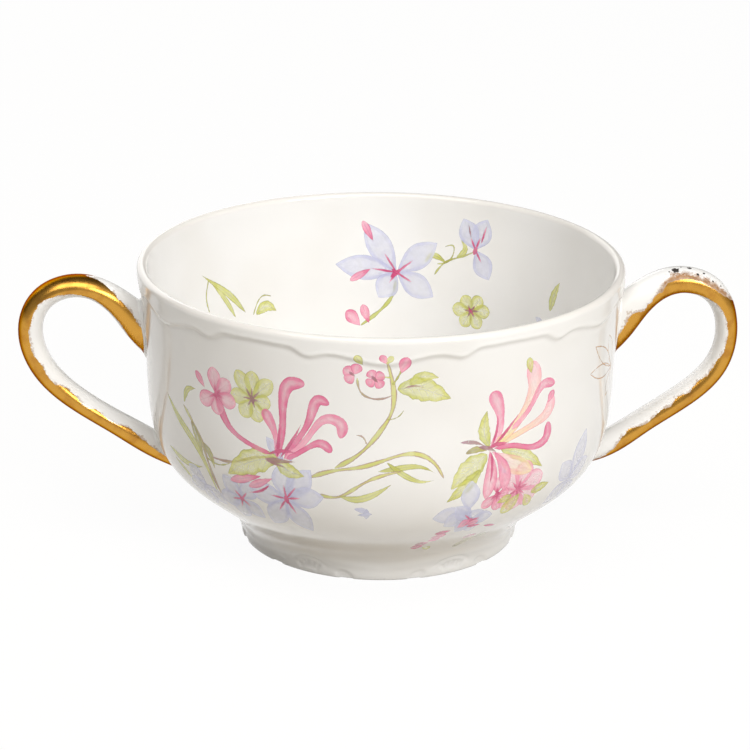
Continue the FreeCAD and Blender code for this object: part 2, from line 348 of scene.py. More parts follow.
angles = np.arange(TURNS) * 360 / TURNS
faces_out = outline_normal[:, 0] > 0.1
outer_side = faces_out & (outline[:, 0] > FOOT_FACE_INNER) & (outline[:, 1] < LIP_CENTRE[1])
raised = np.where(outer_side[:, None], relief(angles[None, :], outline[:, 1:2]), 0)
radius = outline[:, 0:1] + outline_normal[:, 0:1] * raised
height = outline[:, 1:2] + outline_normal[:, 1:2] * raised
rings = at_angle(radius, angles[None, :], height)
cup = closed_tube("cup", rings, [(0, 0, RECESS_DEPTH), (0, 0, FLOOR_HEIGHT)])
print("turned body:", len(cup.data.polygons), "faces")

# %% [markdown]
# ## The strap handles
# Each handle began as a pulled strap of clay, thick where it leaves the wall,
# thin round the loop and tapered into the belly. It is swept as an oval along a
# spline. Where it meets the wall the clay was smoothed with a finger, so the
# oval flares there: each line of the sweep stops just under the wall's surface
# and spreads along it first, like a quarter-round.

# %% Stations along a strap
HANDLE_WIDTH, HANDLE_ROOT_WIDTH = 7.0, 8.0
HANDLE_REACH, HANDLE_MIDDLE_DROP = 23.5, 11.9
HANDLE_TOP_REACH, HANDLE_TOP_DROP = 10.8, 2.5
THROAT_REACH, THROAT_DROP, THROAT_SLOPE, THROAT_FLARE = 0.7, 7.1, math.radians(42), 1.5
ELBOW_INSET, ELBOW_DROP = 1.6, 10.5
HIGH_ARM_BOW, LOW_ARM_BOW = 1.4, 0.8
SHOULDER_TURN = math.radians(50)
UPPER_ROOT_DROP, UPPER_ROOT_RISE, ROOT_FLARE = 13.6, 5.2, 2.8
LOWER_ROOT_HEIGHT, LOWER_ROOT_OFFSET, LOWER_TIP_HEIGHT = 17.4, 2.0, 12.9
ARM_STRAP, LOWER_ROOT_STRAP, STRAP_TIP = 4.6, 4.8, 2.0

WALL_SAMPLES = 900
wall_places = np.linspace(0, bowl_outline.length, WALL_SAMPLES)
wall_samples = bowl_outline.at(wall_places)[:, :2]
wall_normals = bowl_outline.along(wall_places)[:, ::-1] * (1, -1)
inside_samples = inside_outline.at(np.linspace(0, inside_outline.length, WALL_SAMPLES))[:, :2]


def wall_radius(height):
    """Radius of the plain outer wall at a height."""
    return np.interp(height, wall_samples[:, 1], wall_samples[:, 0])


def inside_radius(height):
    """Radius of the inner wall at a height."""
    return np.interp(height, inside_samples[:, 1], inside_samples[:, 0])


def clear_of_wall(points):
    """Distance of points outside the bowl's outer surface, square to it."""
    lean = np.interp(points[..., 2], wall_samples[:, 1], wall_normals[:, 0])
    return (np.hypot(points[..., 0], points[..., 1]) - wall_radius(points[..., 2])) * lean


def strap_stations(sag, top_strap, outer_strap):
    """Rows of x, z, thickness and width, from the upper root to the lower one."""
    root_height = CUP_HEIGHT - UPPER_ROOT_DROP - sag / 2
    root = np.array((wall_radius(root_height), root_height))
    inner_end = root - (2 * WALL_THICKNESS, UPPER_ROOT_RISE)
    throat_strap = top_strap + THROAT_FLARE
    throat_face = np.array((RIM_RADIUS + THROAT_REACH, CUP_HEIGHT - THROAT_DROP))
    throat = throat_face + np.array((math.sin(THROAT_SLOPE), -math.cos(THROAT_SLOPE))) * throat_strap / 2
    top = np.array((RIM_RADIUS + HANDLE_TOP_REACH, CUP_HEIGHT - HANDLE_TOP_DROP - top_strap / 2))
    outside = np.array((RIM_RADIUS + HANDLE_REACH - outer_strap / 2, CUP_HEIGHT - HANDLE_MIDDLE_DROP))
    shoulder = np.array((top[0] + (outside[0] - top[0]) * math.sin(SHOULDER_TURN),
                         outside[1] + (top[1] - outside[1]) * math.cos(SHOULDER_TURN)))
    elbow = outside - (ELBOW_INSET, ELBOW_DROP)
    joint = np.array((wall_radius(LOWER_ROOT_HEIGHT) + LOWER_ROOT_OFFSET, LOWER_ROOT_HEIGHT))
    arm_way = unit(joint - elbow)
    below = np.array((-arm_way[1], arm_way[0]))
    elbow, joint = elbow + below * sag, joint + below * sag
    arm = joint - elbow
    tip_lean = wall_normals[np.searchsorted(wall_samples[:, 1], LOWER_TIP_HEIGHT)]
    tip = np.array((wall_radius(LOWER_TIP_HEIGHT), LOWER_TIP_HEIGHT)) - tip_lean * WALL_THICKNESS / 2
    rows = (
        (inner_end, top_strap + ROOT_FLARE, HANDLE_ROOT_WIDTH),
        (root, top_strap + ROOT_FLARE, HANDLE_ROOT_WIDTH),
        (throat, throat_strap, HANDLE_WIDTH),
        (top, top_strap, HANDLE_WIDTH),
        (shoulder, (top_strap + outer_strap) / 2, HANDLE_WIDTH),
        (outside, outer_strap, HANDLE_WIDTH),
        (elbow, outer_strap, HANDLE_WIDTH),
        (elbow + arm / 3 + below * HIGH_ARM_BOW, ARM_STRAP, HANDLE_WIDTH),
        (joint - arm / 3 + below * LOW_ARM_BOW, ARM_STRAP, HANDLE_WIDTH),
        (joint, LOWER_ROOT_STRAP, HANDLE_WIDTH),
        (tip, STRAP_TIP, HANDLE_ROOT_WIDTH),
    )
    return np.array([(*place, thickness, width) for place, thickness, width in rows])


# %% Sweep a strap and flare its ends onto the wall
STRAP_SIDES, STRAP_STEPS, STRAP_SEARCHED = 40, 132, 700
END_CROWDING = 0.1
STRAP_SUNK = 0.6
FILLET, FILLET_LIFT, FILLET_LIMIT = 0.8, 0.12, 0.75
LEAST_SLANT = 0.3


def strap_line(path, side, places):
    """One lengthwise line of the strap: its points and the ways out of the oval."""
    rows = path.at(places)
    way = path.along(places)
    inward = np.column_stack((way[:, 1], -way[:, 0]))
    across = -inward * math.cos(side)
    offset = across * rows[:, 2:3] / 2
    y = -rows[:, 3] / 2 * math.sin(side)
    line = np.column_stack((rows[:, 0] + offset[:, 0], y, rows[:, 1] + offset[:, 1]))
    out = np.column_stack((across[:, 0] * rows[:, 3], -np.full(len(rows), math.sin(side)) * rows[:, 2],
                           across[:, 1] * rows[:, 3]))
    return line, out / np.linalg.norm(out, axis=1)[:, None]


def wall_outward(points):
    """Directions square to the outer wall, away from it."""
    outward = np.column_stack((points[:, 0], points[:, 1], np.zeros(len(points))))
    outward /= np.linalg.norm(outward, axis=1)[:, None]
    lean = np.interp(points[:, 2], wall_samples[:, 1], wall_normals[:, 0])[:, None]
    fall = np.interp(points[:, 2], wall_samples[:, 1], wall_normals[:, 1])[:, None]
    return outward * lean + np.array((0, 0, 1)) * fall


def strap_handle(name, path, mirror):
    """Lines of an oval strap, each cut off just inside the wall and flared onto it."""
    search = np.linspace(0, path.length, STRAP_SEARCHED)
    spread = np.linspace(0, 1, STRAP_STEPS)
    spread = spread - END_CROWDING * np.sin(2 * math.pi * spread)
    rows = []
    for step in range(STRAP_SIDES):
        side = 2 * math.pi * step / STRAP_SIDES
        outside = np.flatnonzero(clear_of_wall(strap_line(path, side, search)[0]) > -STRAP_SUNK)
        places = search[outside[0]] + (search[outside[-1]] - search[outside[0]]) * spread
        line, out = strap_line(path, side, places)
        wall_out = wall_outward(line)
        level = out - wall_out * np.sum(out * wall_out, axis=1)[:, None]
        level /= np.maximum(np.linalg.norm(level, axis=1)[:, None], LEAST_SLANT)
        near = np.clip((clear_of_wall(line) + FILLET_LIFT) / FILLET, 0, 1)
        flare = FILLET * (1 - np.sqrt(1 - (1 - near) ** 2))
        flare = np.minimum(flare, FILLET * FILLET_LIMIT)
        rows.append(line + level * flare[:, None])
    grid = np.array(rows).transpose(1, 0, 2)
    if mirror:
        grid = grid * (-1, -1, 1)
    return closed_tube(name, grid, [grid[0].mean(axis=0), grid[-1].mean(axis=0)])


RIGHT_SAG, RIGHT_TOP_STRAP, RIGHT_OUTER_STRAP = 0.9, 5.4, 4.5
LEFT_SAG, LEFT_TOP_STRAP, LEFT_OUTER_STRAP = -0.9, 4.4, 4.9
right_path = Curve(strap_stations(RIGHT_SAG, RIGHT_TOP_STRAP, RIGHT_OUTER_STRAP))
left_path = Curve(strap_stations(LEFT_SAG, LEFT_TOP_STRAP, LEFT_OUTER_STRAP))
right_strap = strap_handle("right_strap", right_path, False)
left_strap = strap_handle("left_strap", left_path, True)
print("strap lengths, mm:", round(right_path.length, 1), round(left_path.length, 1))

# %% [markdown]
# ## One piece of clay
# A boolean union removes what lies inside and leaves one closed skin. The
# straps are deleted afterwards, because their clay is now part of the cup.

# %% Join the straps to the body
def join_clay(body, strap):
    """Replace the body by its union with a strap, and delete the strap."""
    union = body.modifiers.new("join", "BOOLEAN")
    union.operation = "UNION"
    union.object = strap
    union.solver = "EXACT"
    bpy.context.view_layer.update()
    joined = bpy.data.meshes.new_from_object(body.evaluated_get(bpy.context.evaluated_depsgraph_get()))
    body.modifiers.clear()
    body.data = joined
    bpy.data.objects.remove(strap)


join_clay(cup, right_strap)
join_clay(cup, left_strap)
for polygon in cup.data.polygons:
    polygon.use_smooth = True
print("joined cup:", len(cup.data.polygons), "faces")
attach(cup, "root")
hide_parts("bouillon_cup")

# %% [markdown]
# ## Where the gilding lies
# A gilder ran a brush of liquid gold along each strap and left its inner face
# white. Use has rubbed it off the outer faces near the top. The border is laid
# out in strap terms: how far along, and how far round the oval from its outer
# face. Each vertex stores its distance inside the gold, so that the material
# can cut a sharp, ragged edge between two vertices.

# %% Borders of the gold along each strap
# Each row: station along the strap, then the angles round it that gold covers. They
# count from the middle of the outer face to either side, so gold that starts below
# 0 covers that face without an edge.
COVERED = -60
LEFT_GOLD = (
    (1, 86, 152), (1.7, 74, 142), (2.3, 57, 140), (2.6, 30, 130), (2.9, 4, 122), (3.3, -40, 107),
    (3.6, COVERED, 98), (4.1, COVERED, 79), (4.7, COVERED, 88), (5.3, COVERED, 87), (5.6, COVERED, 92),
    (5.9, COVERED, 108), (6.25, COVERED, 96), (6.6, COVERED, 125), (6.9, COVERED, 120),
    (7.15, COVERED, 101), (7.4, COVERED, 122), (7.8, COVERED, 103), (8.2, COVERED, 125),
    (8.6, COVERED, 106), (9, COVERED, 96), (10, COVERED, 92))
RIGHT_GOLD = (
    (0.9, 104, 158), (1.5, 88, 156), (1.75, 90, 156), (2, 114, 158), (2.3, 108, 160), (2.6, 86, 160),
    (2.8, 52, 158), (3.2, 44, 152), (3.7, 55, 140), (4, 50, 129), (4.3, 40, 118), (4.6, 12, 109),
    (4.9, COVERED, 104), (5.3, COVERED, 99), (5.7, COVERED, 108), (5.9, COVERED, 124),
    (6.3, COVERED, 120), (6.55, COVERED, 132), (6.8, COVERED, 113), (7.1, COVERED, 131),
    (7.3, COVERED, 110), (7.5, COVERED, 118), (7.95, COVERED, 100), (8.3, COVERED, 124),
    (8.55, COVERED, 108), (8.8, COVERED, 80), (9.1, COVERED, 62), (10, COVERED, 50))
MM_PER_DEGREE = 0.045
GOLD_REACH = 3.0
# Where the right strap's gold is worn brown: first and last station, depth in
# millimetres, and how softly it fades
WORN_FROM, WORN_TO, WORN_DEPTH, WORN_FLANK = 2.45, 4.9, 1.2, 1.25
WORN_RISE, WORN_FALL = 4, 3
# Points that can belong to a strap: this far sideways from the axis, this near the
# strap's middle plane, this clear of the wall and this near the strap's path
STRAP_FROM, STRAP_HALF_WIDTH, STRAP_CLEAR, NEAR_STRAP = 38, 9, 0.06, 7.0
STRAP_SAMPLES = 400


def strap_places(points, path):
    """Station number along the strap and degrees round it for each point."""
    samples = np.linspace(0, path.length, STRAP_SAMPLES)
    rows = path.at(samples)
    way = path.along(samples)
    flat = points[:, [0, 2]]
    apart = np.linalg.norm(flat[:, None, :] - rows[None, :, :2], axis=2)
    nearest = apart.argmin(axis=1)
    offset = flat - rows[nearest, :2]
    outward = np.column_stack((-way[nearest, 1], way[nearest, 0]))
    across = np.sum(offset * outward, axis=1) / (rows[nearest, 2] / 2)
    aside = np.abs(points[:, 1]) / (rows[nearest, 3] / 2)
    stations = np.interp(samples[nearest], path.knots, np.arange(len(path.knots)))
    return stations, np.degrees(np.arctan2(aside, across)), apart.min(axis=1)


def inside_gold(stations, around, table):
    """Distance inside the gold's border, negative outside it."""
    table = np.array(table, float)
    low = np.interp(stations, table[:, 0], table[:, 1])
    high = np.interp(stations, table[:, 0], table[:, 2])
    return np.minimum(around - low, high - around) * MM_PER_DEGREE


def store(piece, name, values, kind="FLOAT"):
    """Keep values on a piece's vertices for its material to read."""
    attribute = piece.data.attributes.new(name, kind, "POINT")
    field = {"FLOAT": "value", "FLOAT_VECTOR": "vector", "FLOAT_COLOR": "color"}[kind]
    attribute.data.foreach_set(field, np.asarray(values, np.float32).ravel())


def vertices_of(piece):
    """A piece's vertices in millimetres."""
    flat = np.empty(len(piece.data.vertices) * 3, np.float32)
    piece.data.vertices.foreach_get("co", flat)
    return flat.reshape(-1, 3) / MM


skin = vertices_of(cup)
gold_depth = np.full(len(skin), -GOLD_REACH)
worn = np.zeros(len(skin))
for side, path, table in ((1, right_path, RIGHT_GOLD), (-1, left_path, LEFT_GOLD)):
    near = (skin[:, 0] * side > STRAP_FROM) & (np.abs(skin[:, 1]) < STRAP_HALF_WIDTH)
    near = near & (clear_of_wall(skin) > STRAP_CLEAR)
    stations, around, apart = strap_places(skin[near] * (side, 1, 1), path)
    gold_depth[near] = np.where(apart < NEAR_STRAP, inside_gold(stations, around, table), -GOLD_REACH)
    if side > 0:
        low = np.interp(stations, [row[0] for row in table], [row[1] for row in table])
        crest = smooth_step((stations - WORN_FROM) * WORN_RISE)
        crest = crest * smooth_step((WORN_TO - stations) * WORN_FALL)
        worn[near] = crest * smooth_step(WORN_FLANK - (around - low) * MM_PER_DEGREE / WORN_DEPTH)
store(cup, "gold_depth", np.clip(gold_depth, -GOLD_REACH, GOLD_REACH))
store(cup, "gold_worn", worn)
print("gilded vertices:", int((gold_depth > 0).sum()))

# %% [markdown]
# ## Building materials from nodes
# A small helper keeps the node code short: it adds a node, sets its values and
# wires its inputs. Numbers that are the same all over a surface go straight on
# the shader; only what changes over the surface is wired.

# %% Helpers for nodes
def set_inputs(tree, node, values, wires):
    """Numbers and wires for a node's inputs."""
    for key, value in (values or {}).items():
        node.inputs[key].default_value = value
    for key, socket in (wires or {}).items():
        tree.links.new(socket, node.inputs[key])


def add_node(tree, kind, values=None, wires=None, **settings):
    """A node with its input values, its wires and its settings."""
    node = tree.nodes.new(kind)
    for key, value in settings.items():
        setattr(node, key, value)
    set_inputs(tree, node, values, wires)
    return node


def formula(tree, operation, first, second=None, third=None):
    """A Math node, whose inputs are sockets or plain numbers."""
    node = tree.nodes.new("ShaderNodeMath")
    node.operation = operation
    for place, value in enumerate((first, second, third)):
        if isinstance(value, (int, float)):
            node.inputs[place].default_value = value
        elif value is not None:
            tree.links.new(value, node.inputs[place])
    return node.outputs[0]


def blend_colours(tree, amount, first, second, kind="MIX"):
    """From the first colour to the second by an amount."""
    node = tree.nodes.new("ShaderNodeMix")
    node.data_type = "RGBA"
    node.blend_type = kind
    for socket, value in ((node.inputs[0], amount), (node.inputs[6], first), (node.inputs[7], second)):
        if isinstance(value, (int, float)):
            socket.default_value = value
        elif isinstance(value, tuple):
            socket.default_value = (*value, 1)
        else:
            tree.links.new(value, socket)
    return node.outputs[2]


def product(tree, first, *others):
    """Masks multiplied with each other."""
    for other in others:
        first = formula(tree, "MULTIPLY", first, other)
    return first


def less(tree, value):
    """What a mask leaves free."""
    return formula(tree, "SUBTRACT", 1, value)


def noise(tree, scale, detail, **more):
    """Noise between 0 and 1 that stays with the object."""
    place = tree.nodes.new("ShaderNodeTexCoord").outputs["Object"]
    node = add_node(tree, "ShaderNodeTexNoise", {"Scale": scale, "Detail": detail, **more}, {"Vector": place})
    return node.outputs["Fac"]


def ramp(tree, value, low, high):
    """Smooth 0 to 1 as the value goes from low to high."""
    node = add_node(tree, "ShaderNodeMapRange", {"From Min": low, "From Max": high},
                    {"Value": value}, interpolation_type="SMOOTHSTEP")
    return node.outputs["Result"]


def new_material(name):
    """An empty material with its shader wired to its output."""
    material = bpy.data.materials.new(name)
    material.use_nodes = True
    tree = material.node_tree
    tree.nodes.clear()
    shader = tree.nodes.new("ShaderNodeBsdfPrincipled")
    output = tree.nodes.new("ShaderNodeOutputMaterial")
    tree.links.new(shader.outputs[0], output.inputs["Surface"])
    return material, tree, shader


def stored(tree, name):
    """Reads what store() kept on the vertices."""
    node = tree.nodes.new("ShaderNodeAttribute")
    node.attribute_name = name
    return node


def new_group(name, inputs, outputs):
    """An empty node group with named sockets."""
    group = bpy.data.node_groups.new(name, "ShaderNodeTree")
    for title, kind in inputs:
        group.interface.new_socket(title, in_out="INPUT", socket_type=kind)
    for title, kind in outputs:
        group.interface.new_socket(title, in_out="OUTPUT", socket_type=kind)
    entry = group.nodes.new("NodeGroupInput")
    leave = group.nodes.new("NodeGroupOutput")
    return group, entry, leave


# %% [markdown]
# ## Effects that several materials share
# The glaze on the cup and the paint fused into it have the same faint orange
# peel, and both the gold and the flowers have edges that broke up as they were
# brushed on. Each effect is one group with its own inputs.

# %% Group: ragged edge
FLOAT = "NodeSocketFloat"
FRAY_NOISE, FRAY_ROUGHNESS, WANDER_DETAIL = (2600.0, 3.0), 0.6, 2.0


def make_ragged_edge():
    """Turns a distance inside a border into a mask with a brushed, broken edge."""
    group, entry, leave = new_group(
        "ragged_edge",
        [("Depth", FLOAT), ("Wander", FLOAT), ("Wander Scale", FLOAT), ("Fray", FLOAT), ("Softness", FLOAT)],
        [("Mask", FLOAT)])
    place = group.nodes.new("ShaderNodeTexCoord").outputs["Object"]
    slow = add_node(group, "ShaderNodeTexNoise", {"Detail": WANDER_DETAIL},
                    {"Vector": place, "Scale": entry.outputs["Wander Scale"]}).outputs["Fac"]
    quick = noise(group, *FRAY_NOISE, Roughness=FRAY_ROUGHNESS)
    wander = product(group, formula(group, "SUBTRACT", slow, 0.5), entry.outputs["Wander"])
    fray = product(group, formula(group, "SUBTRACT", quick, 0.5), entry.outputs["Fray"])
    depth = formula(group, "ADD", entry.outputs["Depth"], formula(group, "ADD", wander, fray))
    mask = add_node(group, "ShaderNodeMapRange", {"From Min": 0.0},
                    {"Value": depth, "From Max": entry.outputs["Softness"]}, interpolation_type="SMOOTHSTEP")
    group.links.new(mask.outputs["Result"], leave.inputs["Mask"])
    return group


ragged_edge = make_ragged_edge()


# %% Group: fired glaze
WAVE_NOISE, PEEL_NOISE = (60.0, 1.0), (900.0, 2.0)
GLAZE = {"Ripple": 0.5, "Peel": 0.02}
BUMP = {"Strength": 0.25, "Distance": 0.0004}


def make_fired_glaze():
    """Very slight waviness and pooling of a fired glaze."""
    group, entry, leave = new_group(
        "fired_glaze", [("Ripple", FLOAT), ("Peel", FLOAT)], [("Height", FLOAT), ("Pooling", FLOAT)])
    wave, peel = noise(group, *WAVE_NOISE), noise(group, *PEEL_NOISE)
    height = formula(group, "ADD", product(group, wave, entry.outputs["Ripple"]),
                     product(group, peel, entry.outputs["Peel"]))
    group.links.new(height, leave.inputs["Height"])
    group.links.new(wave, leave.inputs["Pooling"])
    return group


fired_glaze = make_fired_glaze()


def place_group(tree, group, values=None, wires=None):
    """Puts a shared group into a material."""
    node = tree.nodes.new("ShaderNodeGroup")
    node.node_tree = group
    set_inputs(tree, node, values, wires)
    return node


def glaze_bump(tree, height):
    """Tilts the surface by a height, as slightly as glaze does."""
    return add_node(tree, "ShaderNodeBump", BUMP, {"Height": height}).outputs["Normal"]


# %% [markdown]
# ## Porcelain with gilded straps
# White porcelain is a warm white body under a thick clear glaze. The gold is in
# the same material, because it is a film fired onto the same clay: a mask turns
# the surface from white glaze to metal, and along a worn border the gold thins
# to a brown stain before the white shows.

# %% Porcelain material
PORCELAIN = (0.83, 0.82, 0.80)
PORCELAIN_SHADE = (0.80, 0.785, 0.755)
GOLD = (0.66, 0.34, 0.06)
GOLD_RUBBED = (0.54, 0.25, 0.045)
# Painted reflection: the dark brown that the gold turns towards its edges as they turn away from the view
GOLD_DARK_REFLECTION = (0.16, 0.075, 0.015)
STAIN = (0.33, 0.17, 0.06)
WORN_BROWN = (0.30, 0.15, 0.06)
# Painted shade: a darker, warmer colour mixed in from 3 to 16 mm above the table, and its share; then the
# heights in metres where it starts, is full, starts to clear and is gone
COVE_PAINTED_SHADE, PAINTED_SHADE_SHARE = (0.70, 0.655, 0.585), 0.75
COVE_FROM, COVE_FULL, COVE_TO, COVE_CLEAR = 0.0030, 0.0065, 0.0085, 0.0160
# Painted shade: a beige, darker than the glaze, over the top of the lip, and the heights in metres where it
# starts and is full
LIP_PAINTED_SHADE = (0.75, 0.72, 0.675)
LIP_FROM, LIP_TO = 0.0560, 0.0570
CHIP = (0.03, 0.022, 0.018)
# Places of the small black chips and brown specks on the worn handle, metres
CHIPS = (((0.0591, -0.0013, 0.0545), 0.00080), ((0.0620, -0.0005, 0.0547), 0.00055),
         ((0.0635, -0.0022, 0.0538), 0.00030), ((0.0649, -0.0014, 0.0538), 0.00030),
         ((0.0666, -0.0025, 0.0524), 0.00028), ((0.0604, -0.0002, 0.0548), 0.00022),
         ((0.0578, -0.0015, 0.0542), 0.00020), ((0.0683, -0.0022, 0.0513), 0.00020))
CHIP_WANDER, CHIP_CORE = 1.2, 0.75
# Each noise: its scale and its detail
CHIP_NOISE, PATCH_NOISE, RUBBED_NOISE, SCUFF_NOISE = (2200.0, 2.0), (900.0, 4.0), (330.0, 4.0), (1500.0, 3.0)
# Each range: where a mask starts and where it is full
POOL_RANGE, BARE_RANGE, WORN_RANGE = (0.35, 0.75), (0.42, 0.62), (0.0, 0.1)
PATCH_RANGE, RUBBED_RANGE, FACING_RANGE = (0.25, 0.6), (0.45, 0.7), (0.35, 0.9)
PLATED_RANGE = (-0.1, 0.1)
# Edges of the gold, of the brown stain round it and of the smear on the worn crest,
# and how far in millimetres the last two reach past the gold
GOLD_BORDER = {"Wander": 0.9, "Wander Scale": 620.0, "Fray": 0.45, "Softness": 0.12}
STAIN_BORDER = {"Wander": 2.2, "Wander Scale": 800.0, "Fray": 1.4, "Softness": 0.5}
SMEAR_BORDER = {"Wander": 2.6, "Wander Scale": 700.0, "Fray": 2.0, "Softness": 1.5}
STAIN_REACH, SMEAR_REACH, STAIN_SHARE = 0.35, 1.0, 0.55
PATCH_WEIGHT, PATCH_START = 0.9, 0.45
# How much of the painted dark reflection reaches the gold's edges
DARK_REFLECTION_SHARE = 0.9
PORCELAIN_IOR = 1.5
GLAZE_ROUGH, CHIP_ROUGH, GOLD_ROUGH, GOLD_SCUFF = 0.12, 0.5, 0.10, 0.12
GLAZE_COAT, COAT_ROUGH = 0.1, 0.03
GOLD_LIFT = 0.05


def spots(tree, places):
    """Mask of small round marks with broken edges."""
    coordinates = tree.nodes.new("ShaderNodeTexCoord").outputs["Object"]
    broken = formula(tree, "SUBTRACT", noise(tree, *CHIP_NOISE), 0.5)
    total = None
    for centre, size in places:
        apart = add_node(tree, "ShaderNodeVectorMath", {1: centre}, {0: coordinates}, operation="DISTANCE")
        grown = formula(tree, "ADD", apart.outputs["Value"], product(tree, broken, size * CHIP_WANDER))
        mask = less(tree, ramp(tree, grown, size * CHIP_CORE, size))
        total = mask if total is None else formula(tree, "MAXIMUM", total, mask)
    return total


def glazed_body(tree, pooling):
    """Clay under glaze, with painted shade: darker and warmer from 3 to 16 mm up, and beige over the lip."""
    coordinates = tree.nodes.new("ShaderNodeTexCoord").outputs["Object"]
    height = add_node(tree, "ShaderNodeSeparateXYZ", None, {0: coordinates}).outputs["Z"]
    body = blend_colours(tree, ramp(tree, pooling, *POOL_RANGE), PORCELAIN, PORCELAIN_SHADE)
    # Painted shade: a darker, warmer band from 3 to 16 mm above the table, on whatever surface lies there,
    # the hollow above the foot and the floor inside among them
    cove_shade_band = product(tree, ramp(tree, height, COVE_FROM, COVE_FULL), ramp(tree, height, COVE_CLEAR, COVE_TO))
    body = blend_colours(tree, product(tree, cove_shade_band, PAINTED_SHADE_SHARE), body, COVE_PAINTED_SHADE)
    # Painted shade: above 56 mm the glaze turns beige and darker, over the top of the lip
    return blend_colours(tree, ramp(tree, height, LIP_FROM, LIP_TO), body, LIP_PAINTED_SHADE)


def gilding(tree, body):
    """Mask of the gold, and the body stained where gold thinned or wore off."""
    depth, wear = stored(tree, "gold_depth").outputs["Fac"], stored(tree, "gold_worn").outputs["Fac"]
    border, fringe, smear = (
        place_group(tree, ragged_edge, edge, {"Depth": formula(tree, "ADD", depth, reach)}).outputs["Mask"]
        for edge, reach in ((GOLD_BORDER, 0), (STAIN_BORDER, STAIN_REACH), (SMEAR_BORDER, SMEAR_REACH)))
    patches = noise(tree, *PATCH_NOISE)
    rubbing = formula(tree, "ADD", product(tree, patches, PATCH_WEIGHT),
                      formula(tree, "SUBTRACT", wear, PATCH_START))
    bare = product(tree, ramp(tree, rubbing, *BARE_RANGE), ramp(tree, wear, *WORN_RANGE))
    gold = product(tree, border, less(tree, bare))
    stained = product(tree, fringe, less(tree, gold))
    body = blend_colours(tree, product(tree, stained, STAIN_SHARE), body, STAIN)
    brown = product(tree, wear, smear, ramp(tree, patches, *PATCH_RANGE))
    return gold, blend_colours(tree, brown, body, WORN_BROWN)


def make_porcelain():
    """One material for glaze and gold, with a mask between them."""
    material, tree, shader = new_material("porcelain_and_gold")
    shader.inputs["Coat Roughness"].default_value = COAT_ROUGH
    shader.inputs["IOR"].default_value = PORCELAIN_IOR
    glaze = place_group(tree, fired_glaze, GLAZE)
    gold, body = gilding(tree, glazed_body(tree, glaze.outputs["Pooling"]))
    rubbed = ramp(tree, noise(tree, *RUBBED_NOISE), *RUBBED_RANGE)
    metal = blend_colours(tree, rubbed, GOLD, GOLD_RUBBED)
    # Painted reflection: the gold darkens to brown where its surface turns away from the view, standing in
    # for the dark room that bright gold reflects there
    facing = add_node(tree, "ShaderNodeLayerWeight", {"Blend": 0.5}).outputs["Facing"]
    edge = product(tree, ramp(tree, facing, *FACING_RANGE), DARK_REFLECTION_SHARE)
    metal = blend_colours(tree, edge, metal, GOLD_DARK_REFLECTION)
    plated = ramp(tree, stored(tree, "gold_depth").outputs["Fac"], *PLATED_RANGE)
    chips = spots(tree, CHIPS)
    gold_rough = formula(tree, "MULTIPLY_ADD", noise(tree, *SCUFF_NOISE), GOLD_SCUFF, GOLD_ROUGH)
    rough = formula(tree, "ADD", product(tree, gold, gold_rough),
                    formula(tree, "MULTIPLY_ADD", chips, CHIP_ROUGH, GLAZE_ROUGH))
    raised = formula(tree, "ADD", glaze.outputs["Height"], product(tree, gold, GOLD_LIFT))
    for value, socket in (
            (blend_colours(tree, chips, blend_colours(tree, gold, body, metal), CHIP), "Base Color"),
            (product(tree, gold, less(tree, chips)), "Metallic"),
            (blend_colours(tree, plated, (1.0, 1.0, 1.0), GOLD_RUBBED), "Specular Tint"),
            (formula(tree, "MULTIPLY_ADD", gold, -GLAZE_COAT, GLAZE_COAT), "Coat Weight"),
            (rough, "Roughness"),
            (glaze_bump(tree, raised), "Normal")):
        tree.links.new(value, shader.inputs[socket])
    return material


cup.data.materials.clear()
cup.data.materials.append(make_porcelain())

# %% [markdown]
# ## Painted sprays
# The flowers are thin films of enamel fired onto the glaze. Each petal, leaf and
# stem is one brush stroke: a path on the wall, a width that swells and tapers
# along it, and paints for its start, its end and its outline. Paths are given in
# degrees round from the front and millimetres above the table.

# %% Paints
def pigment(red, green, blue):
    """Linear colour of a swatch given on the usual scale of 0 to 255."""
    return tuple(((value / 255 + 0.055) / 1.055) ** 2.4 for value in (red, green, blue))


ROSE, BLUSH, CRIMSON = pigment(222, 112, 150), pigment(243, 172, 192), pigment(186, 50, 104)
LILAC, LILAC_DEEP = pigment(206, 208, 228), pigment(180, 181, 212)
LIME, LEAF, OLIVE = pigment(213, 212, 104), pigment(192, 196, 86), pigment(138, 132, 58)
STRAW, PLUM, UMBER = pigment(234, 222, 150), pigment(150, 92, 118), pigment(150, 112, 84)
GILT = pigment(186, 130, 50)

